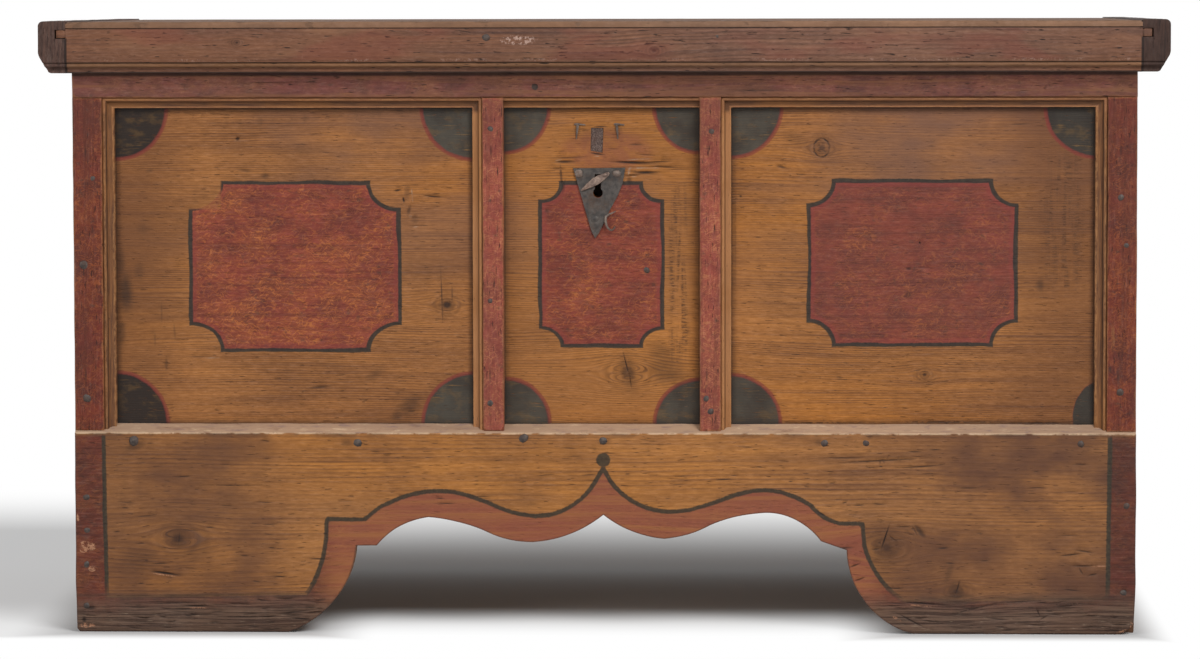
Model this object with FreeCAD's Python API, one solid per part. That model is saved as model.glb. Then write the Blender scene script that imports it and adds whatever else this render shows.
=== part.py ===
"""A painted pine lidded chest on a scalloped plinth, built board by board as a joiner would.

Millimetres, +Z up. The front faces -Y and +X is to the right of someone facing it. The origin is on
the floor, under the middle of the lid. Every board, strip, moulding and iron is its own solid.
"""

import FreeCAD
import Part
import math
import os
from FreeCAD import Vector

# ---------------------------------------------------------------- driving dimensions
LID_WIDTH = 1300.0
LID_DEPTH = 616.0
LID_TOP_Z = 710.0
BODY_WIDTH = 1230.0
RIM_Z = 682.0           # top edge of the four walls
WALL = 26.0             # front and side boards
BACK_WALL = 24.0
STRIP = 16.0            # the frame strips stand this far off the front boards
PLINTH = 20.0
FASCIA = 24.0           # moulded strip along the lid's front edge
FASCIA_GAP = 2.5        # from the fascia to the frame strips behind it
BACK_OVERHANG = 14.0    # lid beyond the back boards
LID_GAP = 0.5           # from the rim to the lid's underside
PLINTH_PROUD = 0.5      # the plinth runs this far past the side boards
FAR = 2 * LID_WIDTH     # beyond every piece

# ---------------------------------------------------------------- planes worked out from them
HALF = BODY_WIDTH / 2
INSIDE_X = HALF - WALL
LID_FRONT_Y = -LID_DEPTH / 2
STRIP_Y = LID_FRONT_Y + FASCIA + FASCIA_GAP
PANEL_Y = STRIP_Y + STRIP               # outer face of the front boards
PLINTH_Y = PANEL_Y - PLINTH
INSIDE_FRONT_Y = PANEL_Y + WALL
BACK_Y = LID_DEPTH / 2 - BACK_OVERHANG  # outer face of the back boards
INSIDE_BACK_Y = BACK_Y - BACK_WALL
LID_UNDER_Z = RIM_Z + LID_GAP

# ---------------------------------------------------------------- heights
WALL_FOOT_Z = 145.0     # bottom edge of the front and back boards
BOTTOM_Z = 155.0        # underside of the floor boards
BOTTOM = 22.0
BOTTOM_HOUSING = 8.0    # how far the floor boards run into the walls
RAIL_Z = 622.0          # lower edge of the top rail
SILL_FRONT_Z = 233.0    # the plinth's top is bevelled, low edge in front
SILL_BACK_Z = 243.0

BLOCK_FOOT_Z = 12.0     # the corner blocks stop short of the floor
ARCH_TOP_Z = 95.0       # of the arch between a side's two feet
ARCH_R = 70.0
SIDE_FOOT = 112.0

# ---------------------------------------------------------------- frame on the front
STILE_INNER_X = 581.0
MUNTIN = 24.5
MUNTIN_X = {"left": -127.3, "right": 124.0}     # centre lines
MOULDING = 13.5         # widths of the mouldings by the stiles, by the muntins and under the rail
MUNTIN_MOULDING = 11.8
TOP_MOULDING = 12.0
MOULDING_SPACE = (PANEL_Y - 20.0, PANEL_Y)      # deeper than any moulding

# ---------------------------------------------------------------- corner dovetails
TAILS = 5
TAIL_HALF = 30.0        # half width at the shoulder
TAIL_SLOPE = 1 / 6.0
TAIL_PITCH = (RIM_Z - WALL_FOOT_Z) / TAILS
FRONT_SEAM_Z = WALL_FOOT_Z + 2 * TAIL_PITCH
BACK_SEAM_Z = WALL_FOOT_Z + 3 * TAIL_PITCH
SIDE_SEAM_Z = WALL_FOOT_Z + 2.5 * TAIL_PITCH

# ---------------------------------------------------------------- lid
CLEAT = 32.0
CLEAT_INNER_X = LID_WIDTH / 2 - CLEAT
CLEAT_RISE = 1.0        # the cleats stand this far above the boards
CLEAT_FOOT_Z = 651.0
CLEAT_CHAMFER_X = 11.0
CLEAT_CHAMFER_Z = 20.0
CLEAT_SOFT = 4.0        # how far the chamfer's two arrises are rounded
CLEAT_TOP_R = 6.0
LIP = 7.5               # thickness of the lid's nose above the fascia
LIP_R = 5.0
TONGUE_Z = (691.0, 701.0)
TONGUE_PLAY = 0.1       # above and below a tongue in its groove
TONGUE = 11.0
GROOVE = 12.5
FASCIA_PLAY = 0.2       # from the fascia's top to the lid's nose
PEG = 8.0               # across flats
PEG_Y = (-225.0, -75.0, 75.0, 225.0)
PEG_FOOT_Z = 662.0
LID_SEAM_Y = 12.0

# ---------------------------------------------------------------- hinges
HINGE_X = 390.0
KNUCKLE_R = 6.5
PIN_R = 3.0
PIN_CLEARANCE = 0.05
IRON = 3.0              # thickness of straps and plates
HINGE_Y = BACK_Y + 7.0
HINGE_Z = RIM_Z - KNUCKLE_R
EYE_HALF = 10.0         # the strap's knuckle, along X
EYE_GAP = 0.5
PLATE_EYE = 10.0
STRAP_REACH = 340.0
STRAP_PLAY = 0.2        # under the strap where it crosses the rim

# ---------------------------------------------------------------- till
TILL_X = -462.0         # outer face of the till's wall
TILL_WALL = 12.0
TILL_BOTTOM_Z = 436.0
TILL_TOP_Z = 548.0
TILL_LID = 9.0
TILL_PIVOT_X = -582.0
TILL_PIN_R = 4.0
TILL_PIN_CLEARANCE = 0.08
TILL_HOUSING = 6.0
TILL_LID_GAP = 0.5      # from the till's wall to its lid
TILL_LID_PLAY = 1.0     # from the lid's ends to the front and back walls
TILL_PIN = 8.0          # how far a pivot pin stands out of the lid
TILL_PIN_HOLE = 10.0
TILL_PIVOT_Z = TILL_TOP_Z + TILL_LID_GAP + TILL_LID / 2

# ---------------------------------------------------------------- lock
LOCK_X = -6.4
KEYHOLE_Z = 511.3
KEYHOLE_R = 5.6
KEYHOLE_SLOT = 7.0
KEYHOLE_TOP_Z = 533.0
LOCK_PLATE = 2.5
LOCK_PLATE_Y = INSIDE_FRONT_Y + LOCK_PLATE      # the face the works stand on
CASE_WALL = 2.0
CASE_BACK_Y = LOCK_PLATE_Y + 26.0
CASE_HALF = 88.0
CASE_Z = (486.0, 668.0)
CASE_TAB = 10.0
CASE_TAB_Z = (510.0, 640.0)
CASE_SLOT = 2.5         # each side of a staple in the case's top
BOLT_Y = LOCK_PLATE_Y + 12.0                    # middle of the bolt's thickness
BOLT = 5.0
BOLT_BAR_Z = (614.0, 626.0)
FINGER_Z = (639.0, 651.0)
STAPLE_X = (LOCK_X - 48.0, LOCK_X + 52.0)
STAPLE = 4.0
STAPLE_FOOT = 2.0       # thickness of the foot under the lid
FINGER_CLEAR = 3.0      # from a withdrawn finger to its staple
FINGER = 22.0
POST = 10.0
STUD_R = 3.0
KEEPER = 8.0
KEEPER_PLAY = 0.2
LEVER_PIVOT_Z = 550.0
LEVER_PIVOT_R = 4.0
LEVER_Y = (BOLT_Y + 6.5, BOLT_Y + 9.2)
ANCHOR_Z = (592.0, 599.0)
SMALL_NAIL = 0.7        # the lock's nails beside the others

# ---------------------------------------------------------------- ironwork on the front
ESCUTCHEON = 2.0
ESCUTCHEON_Y = PANEL_Y - ESCUTCHEON
COVER_PIVOT = (2.3, 531.6)                      # X, Z of the keyhole cover's rivet
COVER_TIP = (-26.0, 513.6)
COVER = 2.2
COVER_GAP = 0.4
COVER_Y = ESCUTCHEON_Y - COVER_GAP - COVER
RIVET_R = 2.0
NAIL_HEAD_R = 5.0
NAIL_HEAD = 2.4
NAIL_SHANK = 4.0
NAIL_TIP = 0.45         # of the shank's thickness is left at its tip
NAIL_CROWN = 0.35       # of the head's radius is left on top of it
CLENCH = 1.7            # half thickness of the two clenched nails
CLENCH_PROUD = 1.6
CLENCH_Z = 590.0


# ================================================================ helpers
def box(x, y, z):
    """A block between two values on each axis."""
    return Part.makeBox(x[1] - x[0], y[1] - y[0], z[1] - z[0], Vector(x[0], y[0], z[0]))


def flipped(shape):
    """The same shape on the other side of the chest."""
    return shape.mirror(Vector(0, 0, 0), Vector(1, 0, 0))


def polygon(points):
    return Part.makePolygon([Vector(*p) for p in points + points[:1]])


def slab_xz(points, y):
    """A flat piece whose outline is drawn on the front, between two depths."""
    face = Part.Face(polygon([(x, y[0], z) for x, z in points]))
    return face.extrude(Vector(0, y[1] - y[0], 0))


def bar_yz(edges_or_points, x):
    """A length with the same section all along X; a section is points, or ready-made edges at x = 0."""
    if isinstance(edges_or_points[0], tuple):
        wire = polygon([(0, y, z) for y, z in edges_or_points])
    else:
        wire = Part.Wire(edges_or_points)
    return Part.Face(wire).extrude(Vector(x[1] - x[0], 0, 0)).translated(Vector(x[0], 0, 0))


def line(a, b):
    return Part.makeLine(Vector(*a), Vector(*b))


def arc(a, b, c):
    return Part.Arc(Vector(*a), Vector(*b), Vector(*c)).toShape()


def cylinder(radius, length, start, axis):
    return Part.makeCylinder(radius, length, Vector(*start), Vector(*axis))


def fuse(shapes):
    whole = shapes[0]
    for shape in shapes[1:]:
        whole = whole.fuse(shape)
    return whole.removeSplitter()


def cut(shape, tools):
    """Takes each tool that reaches the shape out of it."""
    near = [t for t in tools if shape.BoundBox.intersect(t.BoundBox)]
    for tool in near:
        shape = shape.cut(tool)
    return shape


def ring(count, radius, height):
    """A regular outline of flat sides round the Z axis."""
    turn = 2 * math.pi / count
    return polygon([
        (radius * math.cos((i + 0.5) * turn), radius * math.sin((i + 0.5) * turn), height)
        for i in range(count)
    ])


def frustum(count, low, high, z):
    """A tapered piece with flat sides, between two radii and two heights."""
    return Part.makeLoft([ring(count, low, z[0]), ring(count, high, z[1])], True, True)


def turned(shape, head, place):
    """Moves a piece made along +Z so that +Z points along head, with its origin at place."""
    moved = shape.copy()
    moved.Placement = FreeCAD.Placement(
        Vector(*place), FreeCAD.Rotation(Vector(0, 0, 1), Vector(*head)))
    return moved


def nail(place, head, length, size=1.0):
    """A wrought nail: a facetted rose head on the surface and a square tapered shank behind it."""
    shank_r = size * NAIL_SHANK / math.sqrt(2)
    shank = frustum(4, shank_r * NAIL_TIP, shank_r, (-length, 0))
    rose = frustum(8, size * NAIL_HEAD_R, size * NAIL_HEAD_R * NAIL_CROWN, (0, size * NAIL_HEAD))
    return turned(shank.fuse(rose), head, place)


def keyhole(y):
    """The keyhole's opening between two depths."""
    eye = cylinder(KEYHOLE_R, y[1] - y[0], (LOCK_X, y[0], KEYHOLE_Z), (0, 1, 0))
    half = KEYHOLE_SLOT / 2
    slot = box((LOCK_X - half, LOCK_X + half), y, (KEYHOLE_Z, KEYHOLE_TOP_Z))
    return eye.fuse(slot)


# ================================================================ walls
def corner_columns(outer_y, inner_y):
    """The right-hand corner where a front or back wall meets the side, shared out as tails and pins."""
    column = box((INSIDE_X, HALF), sorted((outer_y, inner_y)), (WALL_FOOT_Z, RIM_Z))
    flare = TAIL_HALF + WALL * TAIL_SLOPE
    tails = []
    for i in range(TAILS):
        z = WALL_FOOT_Z + (i + 0.5) * TAIL_PITCH
        outline = [(INSIDE_X, z - TAIL_HALF), (HALF, z - flare), (HALF, z + flare), (INSIDE_X, z + TAIL_HALF)]
        tails.append(slab_xz(outline, sorted((outer_y, inner_y))))
    return tails, cut(column, tails)


def long_wall(outer_y, inner_y):
    """A front or back wall in one piece, with its tails at both ends and a groove for the floor."""
    depth = sorted((outer_y, inner_y))
    wall = box((-INSIDE_X, INSIDE_X), depth, (WALL_FOOT_Z, RIM_Z))
    tails = corner_columns(outer_y, inner_y)[0]
    wall = fuse([wall] + tails + [flipped(t) for t in tails])
    return cut(wall, [floor_space(), till_space()])


def floor_space():
    return box(
        (-INSIDE_X - BOTTOM_HOUSING, INSIDE_X + BOTTOM_HOUSING),
        (INSIDE_FRONT_Y - BOTTOM_HOUSING, INSIDE_BACK_Y + BOTTOM_HOUSING),
        (BOTTOM_Z, BOTTOM_Z + BOTTOM))


def till_space():
    """What the till takes out of the front and back walls: two housings and the pivot holes."""
    y = (INSIDE_FRONT_Y - TILL_HOUSING, INSIDE_BACK_Y + TILL_HOUSING)
    wall = box((TILL_X - TILL_WALL, TILL_X), y, (TILL_BOTTOM_Z, TILL_TOP_Z))
    floor = box((-INSIDE_X, TILL_X), y, (TILL_BOTTOM_Z, TILL_BOTTOM_Z + TILL_WALL))
    hole = cylinder(
        TILL_PIN_R + TILL_PIN_CLEARANCE, INSIDE_BACK_Y - INSIDE_FRONT_Y + 2 * TILL_PIN_HOLE,
        (TILL_PIVOT_X, INSIDE_FRONT_Y - TILL_PIN_HOLE, TILL_PIVOT_Z), (0, 1, 0))
    return fuse([wall, floor]).fuse(hole)


def split(shape, z):
    """The part of a wall below a seam, and the part above it."""
    below = box((-FAR, FAR), (-FAR, FAR), (-FAR, z))
    return shape.common(below), shape.cut(below)


def front_boards(nails):
    """Two boards edge to edge, with the keyhole and the mortise of an earlier hasp through the upper one."""
    wall = long_wall(PANEL_Y, INSIDE_FRONT_Y)
    wall = cut(wall, [keyhole((PANEL_Y, INSIDE_FRONT_Y)), slot_plug_blank()] + nails)
    lower, upper = split(wall, FRONT_SEAM_Z)
    return {"front_board_lower": lower, "front_board_upper": upper}


def back_boards(nails):
    """Two boards; the upper one is notched at the rim where the hinge straps cross it."""
    wall = long_wall(BACK_Y, INSIDE_BACK_Y)
    half = EYE_HALF + EYE_GAP
    notches = [
        box((x - half, x + half), (INSIDE_BACK_Y, BACK_Y), (RIM_Z - IRON - STRAP_PLAY, RIM_Z))
        for x in (-HINGE_X, HINGE_X)
    ]
    lower, upper = split(cut(wall, notches + nails), BACK_SEAM_Z)
    return {"back_board_lower": lower, "back_board_upper": upper}


def side_boards(nails):
    """Two boards a side, running down to the floor, with an arch cut between the feet."""
    front_y, back_y = PANEL_Y + SIDE_FOOT, BACK_Y - SIDE_FOOT
    top, bend = ARCH_TOP_Z, ARCH_R * (1 - math.sqrt(0.5))
    x = INSIDE_X
    shoulder = top - ARCH_R
    outline = [
        line((x, front_y, 0), (x, front_y, shoulder)),
        arc((x, front_y, shoulder), (x, front_y + bend, top - bend), (x, front_y + ARCH_R, top)),
        line((x, front_y + ARCH_R, top), (x, back_y - ARCH_R, top)),
        arc((x, back_y - ARCH_R, top), (x, back_y - bend, top - bend), (x, back_y, shoulder)),
        line((x, back_y, shoulder), (x, back_y, 0)),
        line((x, back_y, 0), (x, front_y, 0)),
    ]
    arch = Part.Face(Part.Wire(outline)).extrude(Vector(WALL, 0, 0))
    board = box((INSIDE_X, HALF), (INSIDE_FRONT_Y, INSIDE_BACK_Y), (0, RIM_Z))
    feet = [
        box((INSIDE_X, HALF), (PANEL_Y, INSIDE_FRONT_Y), (0, WALL_FOOT_Z)),
        box((INSIDE_X, HALF), (INSIDE_BACK_Y, BACK_Y), (0, WALL_FOOT_Z)),
    ]
    pins = [corner_columns(PANEL_Y, INSIDE_FRONT_Y)[1], corner_columns(BACK_Y, INSIDE_BACK_Y)[1]]
    right = cut(fuse([board] + feet + pins), [arch, floor_space()])
    made = {}
    for side, wall in (("right", right), ("left", flipped(right))):
        lower, upper = split(cut(wall, nails), SIDE_SEAM_Z)
        made[f"side_board_{side}_lower"] = lower
        made[f"side_board_{side}_upper"] = upper
    return made


def floor_boards():
    whole = floor_space()
    middle = (INSIDE_FRONT_Y + INSIDE_BACK_Y) / 2
    front = whole.common(box((-FAR, FAR), (-FAR, middle), (0, FAR)))
    return {"floor_board_front": front, "floor_board_back": whole.cut(front)}


def corner_blocks():
    """Chamfered blocks behind the plinth's feet, glued to the plinth and the sides."""
    side, chamfer = 50.0, 18.0
    outline = [
        (INSIDE_X, PANEL_Y), (INSIDE_X - side, PANEL_Y), (INSIDE_X - side, PANEL_Y + side - chamfer),
        (INSIDE_X - side + chamfer, PANEL_Y + side), (INSIDE_X, PANEL_Y + side),
    ]
    face = Part.Face(polygon([(x, y, BLOCK_FOOT_Z) for x, y in outline]))
    right = face.extrude(Vector(0, 0, WALL_FOOT_Z - BLOCK_FOOT_Z))
    return {"corner_block_right": right, "corner_block_left": flipped(right)}


# ================================================================ plinth
def sill_wedge():
    """The plinth's own space, and all above the floor that the strips must not enter."""
    section = [(PLINTH_Y, 0), (PANEL_Y, 0), (PANEL_Y, SILL_BACK_Z), (PLINTH_Y, SILL_FRONT_Z)]
    return bar_yz(section, (-LID_WIDTH / 2, LID_WIDTH / 2))


# Each half of the scallop, from the middle outwards: distance from the middle and height.
SCALLOP = {
    "left": {"cusp": (0.0, 138.0), "lobe": (-36.0, 117.0), "trough": (-82.0, 106.0), "turn": (-134.0, 117.5),
             "crown": (-203.0, 135.2), "haunch": (-237.0, 124.0), "step": (-263.0, 102.0),
             "corner": (-287.5, 101.5), "instep": (-306.0, 48.0), "toe": (-368.0, 0.0)},
    "right": {"cusp": (0.0, 138.0), "lobe": (30.0, 120.5), "trough": (71.0, 110.5), "turn": (124.0, 126.5),
              "crown": (187.0, 141.0), "haunch": (227.0, 130.5), "step": (252.0, 108.0),
              "corner": (282.0, 98.0), "instep": (299.0, 43.0), "toe": (360.0, 0.0)},
}


def scallop_edges(p, y):
    """The sawn edge of one half: lobe, ogee, haunch, step, and the round of the foot."""
    sag, swell = -3.0, 3.2      # of the ogee's two halves, off the straight line
    at = {name: (x, y, z) for name, (x, z) in p.items()}

    def between(a, b, lift):
        return ((p[a][0] + p[b][0]) / 2, y, (p[a][1] + p[b][1]) / 2 + lift)

    return [
        arc(at["cusp"], at["lobe"], at["trough"]),
        arc(at["trough"], between("trough", "turn", sag), at["turn"]),
        arc(at["turn"], between("turn", "crown", swell), at["crown"]),
        arc(at["crown"], at["haunch"], at["step"]),
        line(at["step"], at["corner"]),
        arc(at["corner"], at["instep"], at["toe"]),
    ]


def worn_corner(side, reach, rise):
    """What wear has taken off the plinth's bottom corner: how far in along the floor, and how far up."""
    end = side * (HALF + PLINTH_PROUD)
    y = PLINTH_Y
    foot, heel, corner = (end - side * reach, y, 0), (end, y, rise), (end, y, 0)
    middle = (end - side * reach * 0.34, y, rise * 0.34)
    face = Part.Face(Part.Wire([arc(foot, middle, heel), line(heel, corner), line(corner, foot)]))
    return face.extrude(Vector(0, PLINTH, 0))


def plinth(nails):
    """One thick board across the front: bevelled on top, scalloped below, its bottom corners worn round."""
    gap = (
        scallop_edges(SCALLOP["left"], PLINTH_Y) + scallop_edges(SCALLOP["right"], PLINTH_Y)
        + [line((SCALLOP["left"]["toe"][0], PLINTH_Y, 0), (SCALLOP["right"]["toe"][0], PLINTH_Y, 0))]
    )
    opening = Part.Face(Part.Wire(Part.__sortEdges__(gap))).extrude(Vector(0, PLINTH, 0))
    half = HALF + PLINTH_PROUD
    board = sill_wedge().common(box((-half, half), (PLINTH_Y, PANEL_Y), (0, SILL_BACK_Z)))
    corners = [worn_corner(1, 20.0, 16.0), worn_corner(-1, 5.0, 5.0)]
    return {"plinth": cut(board, [opening] + corners + nails)}


# ================================================================ frame strips and mouldings
def frame_strips(nails):
    """The red frame: a rail across the top, a stile at each end, two muntins between."""
    depth = (STRIP_Y, PANEL_Y)
    foot = sill_wedge()
    low = SILL_FRONT_Z
    made = {"top_rail": box((-HALF, HALF), depth, (RAIL_Z, RIM_Z))}
    stile = box((STILE_INNER_X, HALF), depth, (low, RAIL_Z))
    made["stile_right"] = cut(stile, [foot])
    made["stile_left"] = flipped(made["stile_right"])
    for side, x in MUNTIN_X.items():
        made[f"muntin_{side}"] = cut(box((x - MUNTIN / 2, x + MUNTIN / 2), depth, (low, RAIL_Z)), [foot])
    return {name: cut(shape, nails) for name, shape in made.items()}


def moulding_section(width):
    """Bead, hollow and fillet: distance from the strip, and height off the boards, as lines and arcs."""
    crest, low, thin, fillet = 13.0, 11.2, 7.0, 2.4
    bead, hollow = 0.36 * width, width - fillet
    over_bead = (0.5 * bead, crest)
    in_hollow = (0.5 * (bead + hollow) - 0.6, 0.5 * (low + thin) - 1.4)
    return [
        [(0, 0), (0, crest - 0.8)], [(0, crest - 0.8), over_bead, (bead, low)],
        [(bead, low), in_hollow, (hollow, thin)], [(hollow, thin), (width, thin)],
        [(width, thin), (width, 0)], [(width, 0), (0, 0)],
    ]


def moulding(start, run, across, length, width):
    """A moulding from start along run, its bead against the strip and its thin edge towards across."""
    run, across, out = Vector(*run), Vector(*across), Vector(0, -1, 0)

    def at(point):
        return Vector(*start) + across * point[0] + out * point[1]

    edges = []
    for points in moulding_section(width):
        draw = Part.makeLine if len(points) == 2 else Part.Arc
        edge = draw(*[at(p) for p in points])
        edges.append(edge if len(points) == 2 else edge.toShape())
    return Part.Face(Part.Wire(edges)).extrude(run * length)


def mouldings():
    """Seven lengths round the panels: mitred at the top corners of the outer panels, plain elsewhere."""
    foot = sill_wedge()
    height = RAIL_Z - SILL_FRONT_Z
    half = MUNTIN / 2
    panels = {
        "left": (-STILE_INNER_X, MUNTIN_X["left"] - half),
        "centre": (MUNTIN_X["left"] + half, MUNTIN_X["right"] - half),
        "right": (MUNTIN_X["right"] + half, STILE_INNER_X),
    }
    made = {}
    for name, (x0, x1) in panels.items():
        top = moulding((x0, PANEL_Y, RAIL_Z), (1, 0, 0), (0, 0, -1), x1 - x0, TOP_MOULDING)
        if name == "centre":
            made["moulding_top_centre"] = top
            continue
        widths = (MOULDING, MUNTIN_MOULDING) if name == "left" else (MUNTIN_MOULDING, MOULDING)
        kinds = ("stile", "muntin") if name == "left" else ("muntin", "stile")
        for x, side, width, kind in zip((x0, x1), (1, -1), widths, kinds):
            above, below = mitre(x, side, width)
            upright = moulding((x, PANEL_Y, SILL_FRONT_Z), (0, 0, 1), (side, 0, 0), height, width)
            made[f"moulding_{kind}_{name}"] = upright.cut(above).cut(foot)
            top = top.cut(below)
        made[f"moulding_top_{name}"] = top
    return made


def mitre(x, side, width):
    """The top moulding's half of a mitred corner, and the upright's half."""
    corner, inner = (x, RAIL_Z), (x + side * width, RAIL_Z - TOP_MOULDING)
    spare = 1.0
    above = [corner, inner, (inner[0], RAIL_Z + spare), (x, RAIL_Z + spare)]
    below = [corner, inner, (x, inner[1])]
    return slab_xz(above, MOULDING_SPACE), slab_xz(below, MOULDING_SPACE)


# ================================================================ lid
def fascia_section():
    """The fascia's section as edges: flat face, quirk, bead, hollow and a fillet along the bottom."""
    face, back = LID_FRONT_Y, LID_FRONT_Y + FASCIA
    top, foot = LID_TOP_Z - LIP - FASCIA_PLAY, CLEAT_FOOT_Z
    quirk_z, bead_z, hollow_z, fillet_z = foot + 12.2, foot + 10.8, foot + 6.8, foot + 2.2
    quirk, bead, hollow, fillet = face + 2.0, face + 2.6, face + 5.6, face + 4.4
    over_bead, in_hollow = (0, face + 0.9, foot + 8.7), (0, face + 5.2, foot + 5.2)

    def at(y, z):
        return (0, y, z)

    return [
        line(at(back, foot), at(back, top)), line(at(back, top), at(face, top)),
        line(at(face, top), at(face, quirk_z)), line(at(face, quirk_z), at(quirk, quirk_z - 0.4)),
        line(at(quirk, quirk_z - 0.4), at(quirk, bead_z)),
        arc(at(quirk, bead_z), over_bead, at(bead, hollow_z)), arc(at(bead, hollow_z), in_hollow, at(hollow, fillet_z)),
        line(at(hollow, fillet_z), at(fillet, fillet_z)), line(at(fillet, fillet_z), at(fillet, foot)),
        line(at(fillet, foot), at(back, foot)),
    ]


def peg(x, y):
    """A whittled peg through cleat and tongue."""
    radius = PEG / 2 / math.cos(math.pi / 8)
    return frustum(8, radius, radius, (PEG_FOOT_Z, LID_TOP_Z + CLEAT_RISE)).translated(Vector(x, y, 0))


def lid_boards(cutters):
    """Two boards edge to edge, a rounded nose in front over the fascia, and a tongue at each end."""
    under, top, back = LID_UNDER_Z, LID_TOP_Z, LID_DEPTH / 2
    f, rebate = LID_FRONT_Y, LID_FRONT_Y + FASCIA
    r = LIP_R
    bend = r * (1 - math.sqrt(0.5))
    nose = [
        line((0, f, top - LIP), (0, f, top - r)),
        arc((0, f, top - r), (0, f + bend, top - bend), (0, f + r, top)),
        line((0, f + r, top), (0, LID_SEAM_Y, top)), line((0, LID_SEAM_Y, top), (0, LID_SEAM_Y, under)),
        line((0, LID_SEAM_Y, under), (0, rebate, under)), line((0, rebate, under), (0, rebate, top - LIP)),
        line((0, rebate, top - LIP), (0, f, top - LIP)),
    ]
    width = (-CLEAT_INNER_X, CLEAT_INNER_X)
    tongued = (-CLEAT_INNER_X - TONGUE, CLEAT_INNER_X + TONGUE)
    front = bar_yz(nose, width).fuse(box(tongued, (rebate, LID_SEAM_Y), TONGUE_Z))
    rear = box(width, (LID_SEAM_Y, back), (under, top)).fuse(box(tongued, (LID_SEAM_Y, back), TONGUE_Z))
    fascia = bar_yz(fascia_section(), width).fuse(box(tongued, (f, rebate), TONGUE_Z))
    made = {"lid_board_front": front, "lid_board_back": rear, "lid_fascia": fascia}
    return {name: cut(shape.removeSplitter(), cutters) for name, shape in made.items()}


def cleats(cutters):
    """The end pieces: grooved for the tongues, rounded above, chamfered below, moulded across the front."""
    inner, outer, foot = CLEAT_INNER_X, LID_WIDTH / 2, CLEAT_FOOT_Z
    top, r = LID_TOP_Z + CLEAT_RISE, CLEAT_TOP_R
    bend = r * (1 - math.sqrt(0.5))
    y = LID_FRONT_Y
    shoulder, heel, slant = foot + CLEAT_CHAMFER_Z, outer - CLEAT_CHAMFER_X, 3.0

    def at(x, z):
        return (x, y, z)

    outline = [
        line(at(inner, foot), at(inner, top)), line(at(inner, top), at(outer - r, top)),
        arc(at(outer - r, top), at(outer - bend, top - bend), at(outer, top - r)),
        line(at(outer, top - r), at(outer, shoulder + CLEAT_SOFT)),
        arc(at(outer, shoulder + CLEAT_SOFT), at(outer - 0.9, shoulder), at(outer - slant, shoulder - CLEAT_SOFT)),
        line(at(outer - slant, shoulder - CLEAT_SOFT), at(heel, foot + 1.6)),
        arc(at(heel, foot + 1.6), at(heel - 1.9, foot + 0.4), at(heel - CLEAT_SOFT, foot)),
        line(at(heel - CLEAT_SOFT, foot), at(inner, foot)),
    ]
    bar = Part.Face(Part.Wire(outline)).extrude(Vector(0, LID_DEPTH, 0))
    fronts = bar_yz(fascia_section(), (inner, outer))
    above = box((inner, outer), (y, y + FASCIA), (LID_TOP_Z - LIP - FASCIA_PLAY, top))
    behind = box((inner, outer), (y + FASCIA, y + LID_DEPTH), (foot, top))
    shaped = bar.common(fuse([fronts, above, behind]))
    low, high = TONGUE_Z
    right = shaped.cut(box((inner, inner + GROOVE), (y, y + LID_DEPTH), (low - TONGUE_PLAY, high + TONGUE_PLAY)))
    return {
        "lid_cleat_right": cut(right, cutters),
        "lid_cleat_left": cut(flipped(right), cutters),
    }


def lid_pegs():
    x = CLEAT_INNER_X + TONGUE / 2
    return [peg(side * x, y) for side in (-1, 1) for y in PEG_Y]


# ================================================================ hinges
def strap_outline():
    """Half widths of a strap along its length, measured forward from the hinge pin."""
    neck = BACK_WALL + 12.0
    return [(0, EYE_HALF), (neck, EYE_HALF), (neck + 12, 17.0), (STRAP_REACH - 62, 12.0), (STRAP_REACH - 50, 8.0),
            (STRAP_REACH - 26, 19.0), (STRAP_REACH, 1.5)]


def hinge_strap(x):
    """A tapered strap under the lid, let through the rim, ending in one knuckle round the pin."""
    stations = strap_outline()
    right = [(x + w, HINGE_Y - reach) for reach, w in stations]
    left = [(x - w, HINGE_Y - reach) for reach, w in reversed(stations)]
    face = Part.Face(polygon([(px, py, LID_UNDER_Z - IRON) for px, py in right + left]))
    strap = face.extrude(Vector(0, 0, IRON))
    knuckle = cylinder(KNUCKLE_R, 2 * EYE_HALF, (x - EYE_HALF, HINGE_Y, HINGE_Z), (1, 0, 0))
    hole = cylinder(PIN_R + PIN_CLEARANCE, 80.0, (x - 40.0, HINGE_Y, HINGE_Z), (1, 0, 0))
    return strap.fuse(knuckle).cut(hole)


def hinge_plate(x):
    """The fixed leaf on the back: a pointed plate with a knuckle on each side of the strap's."""
    top, waist, point = HINGE_Z - KNUCKLE_R - 1.5, 600.0, 560.0
    half = EYE_HALF + EYE_GAP + PLATE_EYE
    outline = [(x - half, top), (x + half, top), (x + half + 8, waist), (x, point), (x - half - 8, waist)]
    plate = slab_xz(outline, (BACK_Y, BACK_Y + IRON))
    pieces = [plate]
    for side in (-1, 1):
        near = x + side * (EYE_HALF + EYE_GAP)
        span = sorted((near, near + side * PLATE_EYE))
        pieces.append(cylinder(KNUCKLE_R, PLATE_EYE, (span[0], HINGE_Y, HINGE_Z), (1, 0, 0)))
        pieces.append(box(span, (BACK_Y, BACK_Y + IRON), (top - 4, HINGE_Z)))
    hole = cylinder(PIN_R + PIN_CLEARANCE, 80.0, (x - 40.0, HINGE_Y, HINGE_Z), (1, 0, 0))
    return fuse(pieces).cut(hole)


def hinge_pin(x):
    half = EYE_HALF + EYE_GAP + PLATE_EYE + 1.0
    shank = cylinder(PIN_R, 2 * half, (x - half, HINGE_Y, HINGE_Z), (1, 0, 0))
    heads = [cylinder(PIN_R + 1.6, 1.8, (x + end, HINGE_Y, HINGE_Z), (1, 0, 0)) for end in (-half - 1.8, half)]
    return fuse([shank] + heads)


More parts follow.
